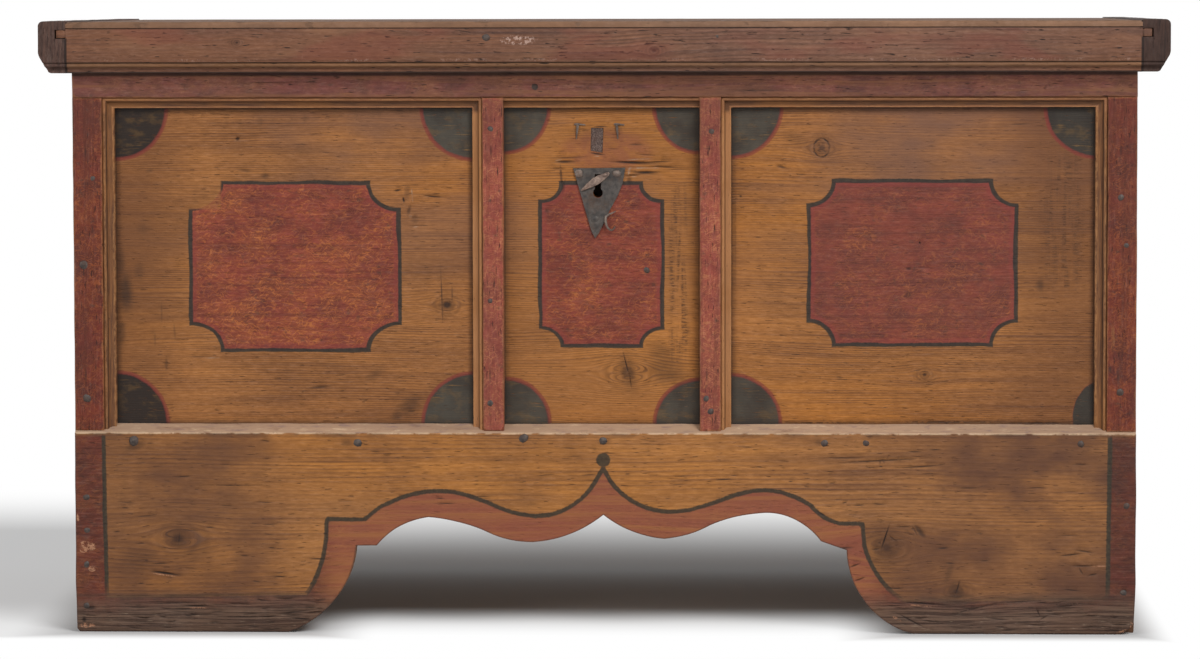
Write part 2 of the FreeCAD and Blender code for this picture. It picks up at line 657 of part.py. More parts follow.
def hinge_nails():
    """Three nails through each strap into the lid, and three through each plate into the back."""
    strap, plate = [], []
    for x in (-HINGE_X, HINGE_X):
        for reach in (62.0, 180.0, STRAP_REACH - 26):
            strap.append(nail((x, HINGE_Y - reach, LID_UNDER_Z - IRON), (0, 0, -1), 22.0))
        for dx, z in ((-17.0, 652.0), (17.0, 652.0), (0.0, 592.0)):
            plate.append(nail((x + dx, BACK_Y + IRON, z), (0, 1, 0), 22.0))
    return strap, plate


# ================================================================ till
def till():
    """A small lidded compartment across the left end, housed in the front and back walls."""
    y = (INSIDE_FRONT_Y - TILL_HOUSING, INSIDE_BACK_Y + TILL_HOUSING)
    wall = box((TILL_X - TILL_WALL, TILL_X), y, (TILL_BOTTOM_Z, TILL_TOP_Z))
    floor = box((-INSIDE_X, TILL_X - TILL_WALL), y, (TILL_BOTTOM_Z, TILL_BOTTOM_Z + TILL_WALL))
    z, r = TILL_PIVOT_Z, TILL_LID / 2
    inside = (INSIDE_FRONT_Y + TILL_LID_PLAY, INSIDE_BACK_Y - TILL_LID_PLAY)
    lid = fuse([
        box((TILL_PIVOT_X, TILL_X), inside, (z - r, z + r)),
        cylinder(r, inside[1] - inside[0], (TILL_PIVOT_X, inside[0], z), (0, 1, 0)),
        cylinder(TILL_PIN_R, inside[1] - inside[0] + 2 * TILL_PIN, (TILL_PIVOT_X, inside[0] - TILL_PIN, z), (0, 1, 0)),
    ])
    return {"till_wall": wall, "till_floor": floor, "till_lid": lid}


# ================================================================ lock
def lock_plate(cutters):
    outline = [(-100, 490), (-88, 478), (88, 478), (100, 490), (100, 660), (88, 672), (-88, 672), (-100, 660)]
    plate = slab_xz([(LOCK_X + x, z) for x, z in outline], (INSIDE_FRONT_Y, LOCK_PLATE_Y))
    return cut(plate, [keyhole((INSIDE_FRONT_Y, LOCK_PLATE_Y))] + cutters)


def lock_case(cutters):
    """A five-sided iron box over the works, slotted on top for the lid's two staples, with nailing tabs."""
    x = (LOCK_X - CASE_HALF, LOCK_X + CASE_HALF)
    outer = box(x, (LOCK_PLATE_Y, CASE_BACK_Y), CASE_Z)
    inner = box(
        (x[0] + CASE_WALL, x[1] - CASE_WALL), (LOCK_PLATE_Y, CASE_BACK_Y - CASE_WALL),
        (CASE_Z[0] + CASE_WALL, CASE_Z[1] - CASE_WALL))
    slots = [
        box((s - STAPLE / 2 - CASE_SLOT, s + STAPLE / 2 + CASE_SLOT),
            (LOCK_PLATE_Y + 1.0, CASE_BACK_Y - CASE_WALL - 0.5), (CASE_Z[1] - CASE_WALL - 1, CASE_Z[1] + 1))
        for s in STAPLE_X
    ]
    tabs = [
        box(sorted((x_side, x_side + out)), (LOCK_PLATE_Y, LOCK_PLATE_Y + CASE_WALL), (z - 8, z + 8))
        for x_side, out in ((x[0], -CASE_TAB), (x[1], CASE_TAB)) for z in CASE_TAB_Z
    ]
    return cut(fuse([cut(outer.cut(inner), slots)] + tabs), cutters)


def lock_nails():
    """One nail through each tab of the case, the plate and the board behind it."""
    reach = CASE_HALF + CASE_TAB / 2 + 0.5
    return [
        nail((LOCK_X + side * reach, LOCK_PLATE_Y + CASE_WALL, z), (0, 1, 0), 22.0, SMALL_NAIL)
        for side in (-1, 1) for z in CASE_TAB_Z
    ]


def lid_staples():
    """Two flat iron eyes that hang from the lid and drop into the lock."""
    half, eye_half, foot_half, tip_z = 8.0, 4.0, 11.0, 628.0
    sole_z = LID_UNDER_Z - STAPLE_FOOT
    made = []
    for x in STAPLE_X:
        blade = box((x - STAPLE / 2, x + STAPLE / 2), (BOLT_Y - half, BOLT_Y + half), (tip_z, sole_z))
        eye = box((x - STAPLE, x + STAPLE), (BOLT_Y - eye_half, BOLT_Y + eye_half), (FINGER_Z[0] - 3, FINGER_Z[1] + 3))
        foot = box((x - foot_half, x + foot_half), (BOLT_Y - half - 3, BOLT_Y + half + 14), (sole_z, LID_UNDER_Z))
        made.append(fuse([blade.cut(eye), foot]))
    return made


def staple_nails():
    """Two nails through the foot of each staple into the lid."""
    return [
        nail((x + dx, BOLT_Y + 16.0, LID_UNDER_Z - STAPLE_FOOT), (0, 0, -1), 22.0, SMALL_NAIL)
        for x in STAPLE_X for dx in (-6.5, 6.5)
    ]


def lock_bolt():
    """A bar with two fingers that slide sideways into the staples, and a stud for the lever."""
    depth = (BOLT_Y - BOLT / 2, BOLT_Y + BOLT / 2)
    tips = [s - STAPLE / 2 - FINGER_CLEAR for s in STAPLE_X]
    pieces = [box((tips[0] - FINGER, tips[1] + 3.0), depth, BOLT_BAR_Z)]
    for tip in tips:
        pieces.append(box((tip - FINGER, tip), depth, FINGER_Z))
        pieces.append(box((tip - FINGER, tip - FINGER + POST), depth, (BOLT_BAR_Z[0], FINGER_Z[1])))
    stud = cylinder(STUD_R, 7.0, (LOCK_X, BOLT_Y + BOLT / 2, sum(BOLT_BAR_Z) / 2), (0, 1, 0))
    return fuse(pieces + [stud])


def bolt_keepers():
    """Two guides on the plate that the bolt's bar slides through."""
    low, high = BOLT_BAR_Z
    half = BOLT / 2 + KEEPER_PLAY
    tunnel = box(
        (LOCK_X - CASE_HALF, LOCK_X + CASE_HALF), (BOLT_Y - half, BOLT_Y + half),
        (low - KEEPER_PLAY, high + KEEPER_PLAY))
    return [
        box((x, x + KEEPER), (LOCK_PLATE_Y, BOLT_Y + BOLT / 2 + 3), (low - 3.5, high + 1.5)).cut(tunnel)
        for x in (LOCK_X - 40.0, LOCK_X + 16.0)
    ]


def lock_lever():
    """Turned by the key at its foot; its fork carries the bolt's stud along."""
    top, foot, half = BOLT_BAR_Z[1] + 6, KEYHOLE_Z + 19.0, 8.0
    outline = [
        (LOCK_X - 5, foot), (LOCK_X + 5, foot), (LOCK_X + half + 2, LEVER_PIVOT_Z), (LOCK_X + half, top),
        (LOCK_X - half, top), (LOCK_X - half - 2, LEVER_PIVOT_Z),
    ]
    prong = STUD_R + 0.4
    fork = box((LOCK_X - prong, LOCK_X + prong), LEVER_Y, (BOLT_BAR_Z[0] - 2, top + 1))
    hole = cylinder(LEVER_PIVOT_R + PIN_CLEARANCE, 30.0, (LOCK_X, LOCK_PLATE_Y, LEVER_PIVOT_Z), (0, 1, 0))
    return slab_xz(outline, LEVER_Y).cut(fork).cut(hole)


def lock_posts():
    """The lever's pivot and the spring's anchor, both riveted to the plate."""
    place = (LOCK_X, LOCK_PLATE_Y, LEVER_PIVOT_Z)
    pivot = fuse([
        cylinder(LEVER_PIVOT_R, LEVER_Y[1] + 1.0 - LOCK_PLATE_Y, place, (0, 1, 0)),
        cylinder(LEVER_PIVOT_R + 2.5, LEVER_Y[0] - 0.3 - LOCK_PLATE_Y, place, (0, 1, 0)),
    ])
    anchor = box((LOCK_X - 66, LOCK_X - 58), (LOCK_PLATE_Y, BOLT_Y + 4), ANCHOR_Z)
    return [pivot, anchor]


def lock_spring():
    """A leaf on the anchor that bears up against the bolt so that it stays where it is put."""
    leaf, low, high = 1.2, ANCHOR_Z[1], BOLT_BAR_Z[0] - 1.6
    under = [(-66, low), (-56, low), (-22, high), (-14, high)]
    over = [(-14, high + leaf), (-22.5, high + leaf), (-56.5, low + leaf), (-66, low + leaf)]
    return slab_xz([(LOCK_X + x, z) for x, z in under + over], (BOLT_Y - 4, BOLT_Y + 4))


# ================================================================ ironwork on the front
def slot_plug_blank():
    """The patched mortise of an earlier hasp, right through the front."""
    outline = [(-14.0, 586.6), (0.4, 586.2), (-0.8, 557.4), (-14.6, 559.8)]
    return slab_xz(outline, (PANEL_Y, INSIDE_FRONT_Y))


def slot_plug():
    recess = box((-30.0, 15.0), (PANEL_Y, PANEL_Y + 0.9), (540.0, 600.0))
    return slot_plug_blank().cut(recess)


def clenched_nails():
    """Two nails that hold the lock plate, driven from inside and bent over on the front."""
    depth = (PANEL_Y - CLENCH_PROUD, PANEL_Y)
    z, s = CLENCH_Z, CLENCH
    made = []
    # Where each nail comes out, which way its tip leans, and how far its beaten end spreads left and right.
    for x, lean, left, right in ((-29.5, -1.0, 5.0, 7.0), (15.6, 1.0, 4.0, 7.0)):
        shank = box((x - s, x + s), (PANEL_Y - CLENCH_PROUD, LOCK_PLATE_Y), (z - s, z + s))
        tip = slab_xz([(x - s, z - s), (x + s, z - s), (x + 0.6 + lean, z - 14), (x - 0.6 + lean, z - 14)], depth)
        spread = box((x - left, x + right), depth, (z - 0.6, z + s))
        head = turned(frustum(8, 4.6, 1.8, (0, 2.2)), (0, 1, 0), (x, LOCK_PLATE_Y, z))
        made.append(fuse([shank, tip, spread, head]))
    return made


def escutcheon(cutters):
    """A triangular plate, point down, its right edge a little bowed."""
    outline = [(-34.9, 539.7), (26.1, 540.4), (22.6, 522.0), (16.4, 507.0), (7.5, 490.4), (1.3, 477.1),
               (-5.2, 464.0), (-9.5, 458.5), (-13.6, 466.0)]
    plate = slab_xz(outline, (ESCUTCHEON_Y, PANEL_Y))
    return cut(plate, [keyhole((ESCUTCHEON_Y, PANEL_Y))] + cutters)


def escutcheon_nails():
    places = [(-28.1, 533.6, 0.92), (15.4, 533.4, 0.95), (-10.6, 481.0, 0.8)]
    return [nail((x, ESCUTCHEON_Y, z), (0, -1, 0), 20.0, size) for x, z, size in places]


def keyhole_cover():
    """A small tapered iron that swings on a rivet beside the keyhole."""
    px, pz = COVER_PIVOT
    tx, tz = COVER_TIP
    reach = math.hypot(tx - px, tz - pz)
    along = ((tx - px) / reach, (tz - pz) / reach)
    across = (-along[1], along[0])

    def at(s, w):
        return (px + along[0] * s + across[0] * w, pz + along[1] * s + across[1] * w)

    blade = slab_xz([at(-6.2, -2.2), at(0, -4.4), at(reach * 0.55, -3.4), at(reach, -0.8),
                     at(reach, 0.8), at(reach * 0.55, 3.2), at(0, 4.4), at(-6.2, 2.2)], (COVER_Y, COVER_Y + COVER))
    hole = cylinder(RIVET_R + PIN_CLEARANCE, 10.0, (px, COVER_Y - 1, pz), (0, 1, 0))
    return blade.cut(hole)


def cover_rivet():
    px, pz = COVER_PIVOT
    start = (px, COVER_Y - COVER_GAP, pz)
    shank = cylinder(RIVET_R, PANEL_Y + 10.0 - start[1], start, (0, 1, 0))
    head = turned(frustum(8, RIVET_R + 1.4, 1.6, (0, 1.4)), (0, -1, 0), start)
    return fuse([shank, head])


def bent_nail():
    """A stray nail beside the escutcheon, its end curled over into a hook."""
    r, proud = 1.4, PANEL_Y - 4.4
    path = [Vector(3.0, PANEL_Y + 12, 484.0), Vector(3.0, proud + 1.2, 484.0), Vector(4.2, proud, 480.5),
            Vector(7.0, proud, 471.5), Vector(10.6, proud, 468.8), Vector(14.5, proud, 472.0)]
    runs = [Part.makeCylinder(r, (b - a).Length, a, b - a) for a, b in zip(path, path[1:])]
    bends = [Part.makeSphere(r, p) for p in path[1:-1]]
    return fuse(runs + bends)


def front_nails():
    """Wrought nails through the frame strips and the plinth: X, Z and a size for each."""
    strips = [
        (-78.7, 634.0, 0.8), (-602.5, 428.5, 1.0), (-600.5, 273.0, 1.0), (-592.0, 529.0, 0.6),
        (596.0, 506.5, 0.8), (603.0, 451.0, 0.7), (596.5, 280.8, 1.0), (-129.6, 586.0, 0.7),
        (-130.6, 386.5, 0.7), (-131.0, 267.8, 0.8), (125.0, 583.0, 0.7), (119.4, 273.6, 0.8),
        (124.4, 258.8, 0.8),
    ]
    plinth_row = [(-546.0, 224.0, 1.2), (-285.4, 222.0, 1.0), (-92.0, 227.5, 1.1), (-0.6, 224.6, 1.1),
                  (255.4, 222.4, 0.8), (303.5, 222.4, 0.8), (551.0, 221.6, 0.9)]
    plinth_ends = [(-602.6, 158.0, 0.8), (-601.5, 119.0, 0.8), (-602.5, 79.5, 0.8), (-603.0, 31.0, 0.8),
                   (603.8, 150.0, 0.8), (601.5, 49.0, 0.8)]
    made = [nail((x, STRIP_Y, z), (0, -1, 0), 36.0, size) for x, z, size in strips]
    made += [nail((x, PLINTH_Y, z), (0, -1, 0), 40.0, size) for x, z, size in plinth_row]
    made += [nail((x, PLINTH_Y, z), (0, -1, 0), 62.0, size) for x, z, size in plinth_ends]
    made.append(nail((49.9, PANEL_Y, 421.6), (0, -1, 0), 24.0, 0.8))
    return made


def fascia_nails():
    """Two nails through the fascia into the lid's front edge, their heads driven in flush."""
    size = 0.9
    return [nail((x, LID_FRONT_Y + size * NAIL_HEAD, 691.5), (0, -1, 0), 60.0, size) for x in (-133.0, 132.5)]


# ================================================================ the whole chest
def build():
    """Every node by name. Fasteners are made first, because each cuts its own hole."""
    groups = {
        "front_nails": front_nails(), "fascia_nails": fascia_nails(), "escutcheon_nails": escutcheon_nails(),
        "clenched_nails": clenched_nails(), "lock_nails": lock_nails(), "bolt_keepers": bolt_keepers(),
        "lock_posts": lock_posts(), "cleat_pegs": lid_pegs(),
        "hinge_pins": [hinge_pin(x) for x in (-HINGE_X, HINGE_X)],
        "lid_staples": [cut(s, staple_nails()) for s in lid_staples()],
    }
    strap_nails, groups["hinge_plate_nails"] = hinge_nails()
    groups["lid_iron_nails"] = strap_nails + staple_nails()
    rivet, stray = cover_rivet(), bent_nail()
    on_front = groups["front_nails"] + groups["escutcheon_nails"] + groups["clenched_nails"]
    on_front += groups["lock_nails"] + [rivet, stray]

    nodes = {name: Part.makeCompound(solids) for name, solids in groups.items()}
    nodes.update(front_boards(on_front))
    nodes.update(back_boards(groups["hinge_plate_nails"]))
    nodes.update(side_boards(groups["front_nails"]))
    nodes.update(floor_boards())
    nodes.update(corner_blocks())
    nodes.update(plinth(groups["front_nails"]))
    nodes.update(frame_strips(groups["front_nails"]))
    nodes.update(mouldings())
    lid_cutters = groups["cleat_pegs"] + groups["fascia_nails"] + groups["lid_iron_nails"]
    nodes.update(lid_boards(lid_cutters))
    nodes.update(cleats(groups["cleat_pegs"]))
    nodes.update(till())
    for side, x in (("left", -HINGE_X), ("right", HINGE_X)):
        nodes[f"hinge_strap_{side}"] = cut(hinge_strap(x), strap_nails)
        nodes[f"hinge_plate_{side}"] = cut(hinge_plate(x), groups["hinge_plate_nails"])
    nodes.update({
        "lock_plate": lock_plate(groups["clenched_nails"] + groups["lock_nails"]),
        "lock_case": lock_case(groups["lock_nails"]),
        "lock_bolt": lock_bolt(), "lock_lever": lock_lever(), "lock_spring": lock_spring(),
        "slot_plug": slot_plug(), "keyhole_cover": keyhole_cover(), "cover_rivet": rivet,
        "escutcheon": escutcheon(groups["escutcheon_nails"] + [rivet, stray]), "bent_nail": stray,
    })
    return nodes


def main():
    os.makedirs("parts", exist_ok=True)
    nodes = build()
    for name, shape in sorted(nodes.items()):
        solids = shape.Solids
        sound = all(s.isValid() and s.Volume > 0 for s in solids)
        print(f"{name:26s} solids {len(solids):3d}  volume {sum(s.Volume for s in solids) / 1000:10.1f} cm3"
              f"{'' if sound and solids else '  NOT SOUND'}")
        (solids[0] if len(solids) == 1 else Part.makeCompound(solids)).exportStep(f"parts/{name}.step")
    print(len(nodes), "nodes")


main()
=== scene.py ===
# %% [markdown]
# # A painted pine chest, from its boards to its worn paint
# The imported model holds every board, strip and iron at its real size. This notebook dresses it: hand-planed
# boards with rubbed arrises, swept mouldings, hammered nails, and paint that long use has worn through.
# Everything is in metres. The front faces -Y, and the floor is z = 0.

import math
import random
from contextlib import contextmanager
from types import SimpleNamespace

import bmesh
import bpy
import numpy as np
from mathutils import Matrix, Vector, noise
from mathutils.geometry import delaunay_2d_cdt


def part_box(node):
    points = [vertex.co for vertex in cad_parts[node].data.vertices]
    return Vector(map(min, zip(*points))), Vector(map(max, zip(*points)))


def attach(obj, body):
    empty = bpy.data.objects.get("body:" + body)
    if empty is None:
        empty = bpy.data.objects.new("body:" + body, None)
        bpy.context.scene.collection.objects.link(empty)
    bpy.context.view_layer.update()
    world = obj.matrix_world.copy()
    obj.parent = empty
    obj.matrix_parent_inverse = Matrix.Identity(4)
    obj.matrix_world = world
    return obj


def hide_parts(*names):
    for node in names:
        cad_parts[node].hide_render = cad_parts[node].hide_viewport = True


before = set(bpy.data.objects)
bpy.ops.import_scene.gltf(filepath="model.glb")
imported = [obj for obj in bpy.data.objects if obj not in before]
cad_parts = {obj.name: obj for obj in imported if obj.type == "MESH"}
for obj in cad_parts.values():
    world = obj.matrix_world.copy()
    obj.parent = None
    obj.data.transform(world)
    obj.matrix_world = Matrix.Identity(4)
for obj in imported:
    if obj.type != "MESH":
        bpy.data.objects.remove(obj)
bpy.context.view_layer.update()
MM = 0.001

# %% [markdown]
# ## Camera
# A long lens far away keeps the panels square. It stands a little above the lid and a little to the right.


# %% The camera
def add(name, data):
    """A new object in the scene."""
    made = bpy.data.objects.new(name, data)
    bpy.context.scene.collection.objects.link(made)
    return made


CAMERA_PLACE = (0.1868, -5.4855, 0.735)
CAMERA_LENS, CAMERA_SHIFT = 135.37, -0.04
CAMERA_PITCH, CAMERA_YAW, CAMERA_ROLL = (math.radians(angle) for angle in (-3.580, 2.094, -0.118))

lens = bpy.data.cameras.new("front_view")
lens.lens = CAMERA_LENS
lens.sensor_width = 36.0
lens.shift_y = CAMERA_SHIFT
lens.clip_end = 60.0
camera = add("front_view", lens)
turn = Matrix.Rotation(CAMERA_YAW, 4, "Z") @ Matrix.Rotation(math.pi / 2 + CAMERA_PITCH, 4, "X")
camera.matrix_world = Matrix.Translation(CAMERA_PLACE) @ turn @ Matrix.Rotation(CAMERA_ROLL, 4, "Z")
bpy.context.scene.camera = camera
bpy.context.scene.view_settings.view_transform = "Standard"
print("camera", [round(v, 3) for v in camera.matrix_world.translation])

# %% [markdown]
# ## Node trees as sums
# A worn surface is arithmetic: paint where the mask is 1, wood where it is 0, less paint on the edges. One
# small class wraps a socket, so that such a sum is written as a sum, and one method adds any other node.


# %% A socket that adds up, and the tree it grows in
class Wire:
    """An output socket. Sums of wires and numbers add Math nodes to its tree."""

    def __init__(self, tree, socket):
        self.tree, self.socket = tree, socket

    def math(self, operation, *others, clamp=False):
        return self.tree.node("ShaderNodeMath", {"operation": operation, "use_clamp": clamp}, [self, *others])

    def __add__(self, other):
        return self.math("ADD", other)

    def __sub__(self, other):
        return self.math("SUBTRACT", other)

    def __rsub__(self, other):
        return self.tree.node("ShaderNodeMath", {"operation": "SUBTRACT"}, [other, self])

    def __mul__(self, other):
        return self.math("MULTIPLY", other)

    def __truediv__(self, other):
        return self.math("DIVIDE", other)

    __radd__ = __add__
    __rmul__ = __mul__

    def abs(self):
        return self.math("ABSOLUTE")

    def max(self, other):
        return self.math("MAXIMUM", other)

    def min(self, other):
        return self.math("MINIMUM", other)

    def clamp(self):
        return self.math("ADD", 0.0, clamp=True)

    def step(self, low, high):
        """0 at low, 1 at high, smooth between; it falls instead of rising when low is above high."""
        values = {"Value": self, "From Min": low, "From Max": high}
        if low > high:
            values = {"Value": self, "From Min": high, "From Max": low, "To Min": 1.0, "To Max": 0.0}
        return self.tree.node("ShaderNodeMapRange", {"interpolation_type": "SMOOTHSTEP"}, values)

    def part(self, axis):
        return self.tree.node("ShaderNodeSeparateXYZ", {}, [self], output="XYZ".index(axis))

    def coat(self, mask, *colour):
        """Paints over this colour where the mask is 1: with a wire, or with three numbers from 0 to 255."""
        over = rgb(*colour) if len(colour) == 3 else colour[0]
        self.socket = self.tree.mix(mask, self, over).socket


class Tree:
    """A node tree and the one method that adds a node, sets it, and fills its sockets."""

    def __init__(self, tree):
        self.tree = tree

    def node(self, kind, settings=None, values=(), output=0):
        made = self.tree.nodes.new(kind)
        for name, value in (settings or {}).items():
            setattr(made, name, value)
        for key, value in values.items() if isinstance(values, dict) else enumerate(values):
            if isinstance(value, Wire):
                self.tree.links.new(value.socket, made.inputs[key])
            elif value is not None:
                made.inputs[key].default_value = value
        return Wire(self, made.outputs[output])

    def mix(self, factor, first, second, blend="MIX"):
        """Blends two colours; factor 0 gives the first."""
        colours = [(*c, 1.0) if isinstance(c, tuple) else c for c in (first, second)]
        settings = {"data_type": "RGBA", "blend_type": blend}
        return self.node("ShaderNodeMix", settings, {0: factor, 6: colours[0], 7: colours[1]}, output=2)

    def xyz(self, x, y, z):
        return self.node("ShaderNodeCombineXYZ", {}, [x, y, z])

    def cloud(self, where, scale=1.0, detail=3.0, rough=0.55):
        """Noise from 0 to 1, with its middle at 0.5."""
        sockets = {"Vector": where, "Scale": scale, "Detail": detail, "Roughness": rough}
        return self.node("ShaderNodeTexNoise", {}, sockets)

    def field(self, x, y, z, *detail):
        """Noise with a scale of its own along each axis."""
        return self.cloud(self.xyz(x, y, z), 1.0, *detail)

    def attribute(self, name):
        return self.node("ShaderNodeAttribute", {"attribute_name": name}, [], output=2)


def rgb(red, green, blue):
    """A colour as seen on a screen, 0 to 255, turned into light."""
    def linear(value):
        value /= 255
        return value / 12.92 if value <= 0.04045 else ((value + 0.055) / 1.055) ** 2.4
    return (linear(red), linear(green), linear(blue))


print("a pine brown as light:", [round(c, 3) for c in rgb(150, 99, 60)])

# %% [markdown]
# ## Grain
# Pine is long fibres, with a darker line where each year's growth ended. The lines part round a knot as water
# parts round a stone, so a knot bends the coordinate that the lines are drawn in. Every mask below is a
# number from 0 to 1 that later cells mix colours with.


# %% The masks of old pine
def bent_round(along, across, knots):
    """The coordinate across the grain, pushed aside near knots given as along, across and radius."""
    bent = across
    for u, v, radius in knots:
        du, dv = (along - u) * 0.45, across - v
        bent = bent - dv * (radius * radius * 0.9) / (du * du + dv * dv + radius * radius * 0.35)
    return bent


def pine(t, axes, knots=(), seed=0.0, fine=330.0):
    """Masks of old pine. axes names the directions along the grain, across the face, and into the board."""
    place = t.node("ShaderNodeTexCoord", {}, [], output=3)
    along, across, into = (place.part(axis) for axis in axes)
    flow = bent_round(along, across, knots)
    drift = t.field(along * 1.3 + seed, flow * 5.0, into * 2.0, 3.0)
    flow = flow + (drift - 0.5) * 0.030
    spread = t.field(along * 0.6 + seed, flow * 16.0, into * 2.0, 2.0)
    years = (flow * fine + spread * fine * 0.035).math("FRACT")
    bold = t.field(along * 2.5 + seed, flow * 22.0, into * 8.0, 3.0, 0.6).step(0.34, 0.66)
    pores = t.field(along * 70.0 + seed, flow * 560.0, into * 60.0, 2.0, 0.5)
    m = SimpleNamespace(
        place=place, along=along, across=across, into=into, flow=flow, bold=bold, knot=None,
        late=years.step(0.30, 0.85) * years.step(1.0, 0.92), pores=pores.step(0.645, 0.72),
        fibre=t.field(along * 11.0 + seed, flow * 950.0, into * 60.0, 4.0, 0.65),
        streak=t.field(along * 3.0 + seed * 2, flow * 130.0, into * 30.0, 4.0, 0.62),
        patch=t.field(along * 4.5 + seed, across * 9.0, into * 4.0, 5.0, 0.62),
        tint=t.field(along * 2.0 - seed, across * 5.0, into * 3.0, 3.0, 0.5),
        speck=t.field(along * 90.0 + seed, flow * 380.0, into * 120.0, 3.0, 0.7),
    )
    for u, v, radius in knots:
        du, dv = (along - u) * 0.8, across - v
        far = (du * du + dv * dv).math("SQRT") + (m.patch - 0.5) * radius * 0.6
        rings = (far * (11.0 / radius)).math("SINE") * 0.5 + 0.5
        halo = far.step(radius * 2.4, radius * 0.5)
        knot = far.step(radius * 0.75, radius * 0.1) * 0.5 + halo * 0.14 + rings * halo * 0.32
        m.knot = m.knot.max(knot) if m.knot else knot
    return m


def uneven(t, m, colour, much=0.9):
    """The same colour, lighter and darker by turns along the grain, with a little pale grey on it: dust, and a
    painted sheen on the grain.
    """
    colour = t.mix(1.0, colour, (m.speck - 0.5) * much + 1.0, "MULTIPLY")
    # Pale grey flecks on the grain: dust, and a painted sheen of light on the relief.
    colour.coat(m.speck.step(0.44, 0.70) * m.fibre.step(0.30, 0.66) * 0.045, 214, 206, 196)
    return colour


def wood_colour(t, m, light, dark, warm=None, contrast=1.0):
    """Two browns mixed by the grain, with a warmer light brown in patches."""
    shade = m.late * m.bold * 0.34 + (m.streak - 0.5) * 1.15 + (m.fibre - 0.5) * 0.8
    shade = ((shade + (m.patch - 0.5) * 1.5) * contrast + 0.36).clamp()
    pale = t.mix(m.tint.step(0.36, 0.66), light, warm) if warm else light
    colour = t.mix(shade, pale, dark)
    black = tuple(0.25 * c for c in dark)
    if m.knot:
        colour.coat(m.knot.clamp() * 0.9, black)
    return uneven(t, m, t.mix(m.pores * 0.6, colour, black))


def wood_height(m):
    """Relief of dry grain: hard lines proud of the soft wood, pores sunk."""
    return m.late * 0.2 + m.fibre * 0.55 + m.streak * 0.5 - m.pores * 0.9


def finished(t, colour, roughness, height, depth=0.5, metallic=0.0, coat=0.0, gloss=0.22):
    """Ends a material with one Principled shader; depth is the bump's height in millimetres."""
    normal = t.node("ShaderNodeBump", {}, {"Strength": 1.0, "Distance": depth * MM, "Height": height})
    sockets = {"Base Color": colour, "Roughness": roughness, "Normal": normal, "Metallic": metallic}
    sockets |= {"Coat Weight": coat, "Coat Roughness": 0.4, "Specular IOR Level": gloss}
    surface = t.node("ShaderNodeBsdfPrincipled", {}, sockets)
    t.tree.links.new(surface.socket, t.tree.nodes["Material Output"].inputs["Surface"])


def new_finish(name):
    material = bpy.data.materials.new(name)
    material.use_nodes = True
    material.node_tree.nodes.remove(material.node_tree.nodes["Principled BSDF"])
    return material, Tree(material.node_tree)


# A near-black for soot, stains, pores and dark joints, and also for painted shade in quirks, under the lid and
# beside the mouldings.
SOOT_AND_SHADE = rgb(30, 21, 18)
print("grain helpers ready")

# %% [markdown]
# ## Sizes
# The visible boards are made again here with a hand-made surface. The planes and heights that their outlines
# need are read from the model, and only what a box can't tell, such as a sawn curve, is given as numbers.


# %% Planes and heights
def span(node, axis):
    """The lowest and highest place of a node along an axis."""
    return tuple(getattr(corner, axis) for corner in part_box(node))


PANEL_Y, INSIDE_FRONT_Y = span("front_board_upper", "y")
INSIDE_BACK_Y, BACK_Y = span("back_board_upper", "y")
STRIP_Y, PLINTH_Y, LID_FRONT_Y = (span(node, "y")[0] for node in ("top_rail", "plinth", "lid_fascia"))
LID_BACK_Y = span("lid_board_back", "y")[1]
LID_UNDER_Z, LID_TOP_Z = span("lid_board_back", "z")
RAIL_Z, RIM_Z = span("top_rail", "z")
HALF = span("front_board_upper", "x")[1]
INSIDE_X = span("side_board_right_upper", "x")[0]
WALL_FOOT_Z = span("front_board_lower", "z")[0]
STILE_X = span("stile_right", "x")[0]
MUNTIN_X = {side: span(f"muntin_{side}", "x") for side in ("left", "right")}
TOP_WIDTH, STILE_WIDTH, MUNTIN_WIDTH = (high - low for low, high in (
    span("moulding_top_left", "z"), span("moulding_stile_left", "x"), span("moulding_muntin_left", "x")))
SILL_FRONT_Z, SILL_BACK_Z = 233 * MM, 243 * MM
PANELS = [
    (-STILE_X + STILE_WIDTH, MUNTIN_X["left"][0] - MUNTIN_WIDTH),
    (MUNTIN_X["left"][1], MUNTIN_X["right"][0]),
    (MUNTIN_X["right"][1] + MUNTIN_WIDTH, STILE_X - STILE_WIDTH),
]
print("panels", [[round(1000 * x) for x in span] for span in PANELS])

# %% [markdown]
# ## A plank
# A board off an old bench is never a box: its faces swell a little, its arrises are rubbed round unevenly and
# its sawn edges wander. `plank` fills an outline with points, closer together near the edge, joins them into
# triangles, and pushes each point in by the rub of the nearest edge and a slow swell. It also leaves two
# numbers on every point for the paint: how far the edge is, and how dark a knock, crack or stain is there.

# %% Outlines
PATCH = 0.06


def arc(start, through, end, count=20):
    """Points on the circle through three points, from the first to the last."""
    (ax, ay), (bx, by), (cx, cy) = start, through, end
    d = 2 * (ax * (by - cy) + bx * (cy - ay) + cx * (ay - by))
    a2, b2, c2 = ax * ax + ay * ay, bx * bx + by * by, cx * cx + cy * cy
    ux = (a2 * (by - cy) + b2 * (cy - ay) + c2 * (ay - by)) / d
    uy = (a2 * (cx - bx) + b2 * (ax - cx) + c2 * (bx - ax)) / d
    radius = math.hypot(ax - ux, ay - uy)
    t0, t1, t2 = (math.atan2(y - uy, x - ux) for x, y in (start, through, end))
    sweep = (t2 - t0) % math.tau
    if (t1 - t0) % math.tau > sweep:
        sweep -= math.tau
    return [(ux + radius * math.cos(t0 + sweep * i / count), uy + radius * math.sin(t0 + sweep * i / count))
            for i in range(count + 1)]


def rectangle(u0, u1, v0, v1):
    return [(u0, v0), (u1, v0), (u1, v1), (u0, v1)]


def scaled(points):
    """Millimetres to metres."""
    return [(u * MM, v * MM) for u, v in points]


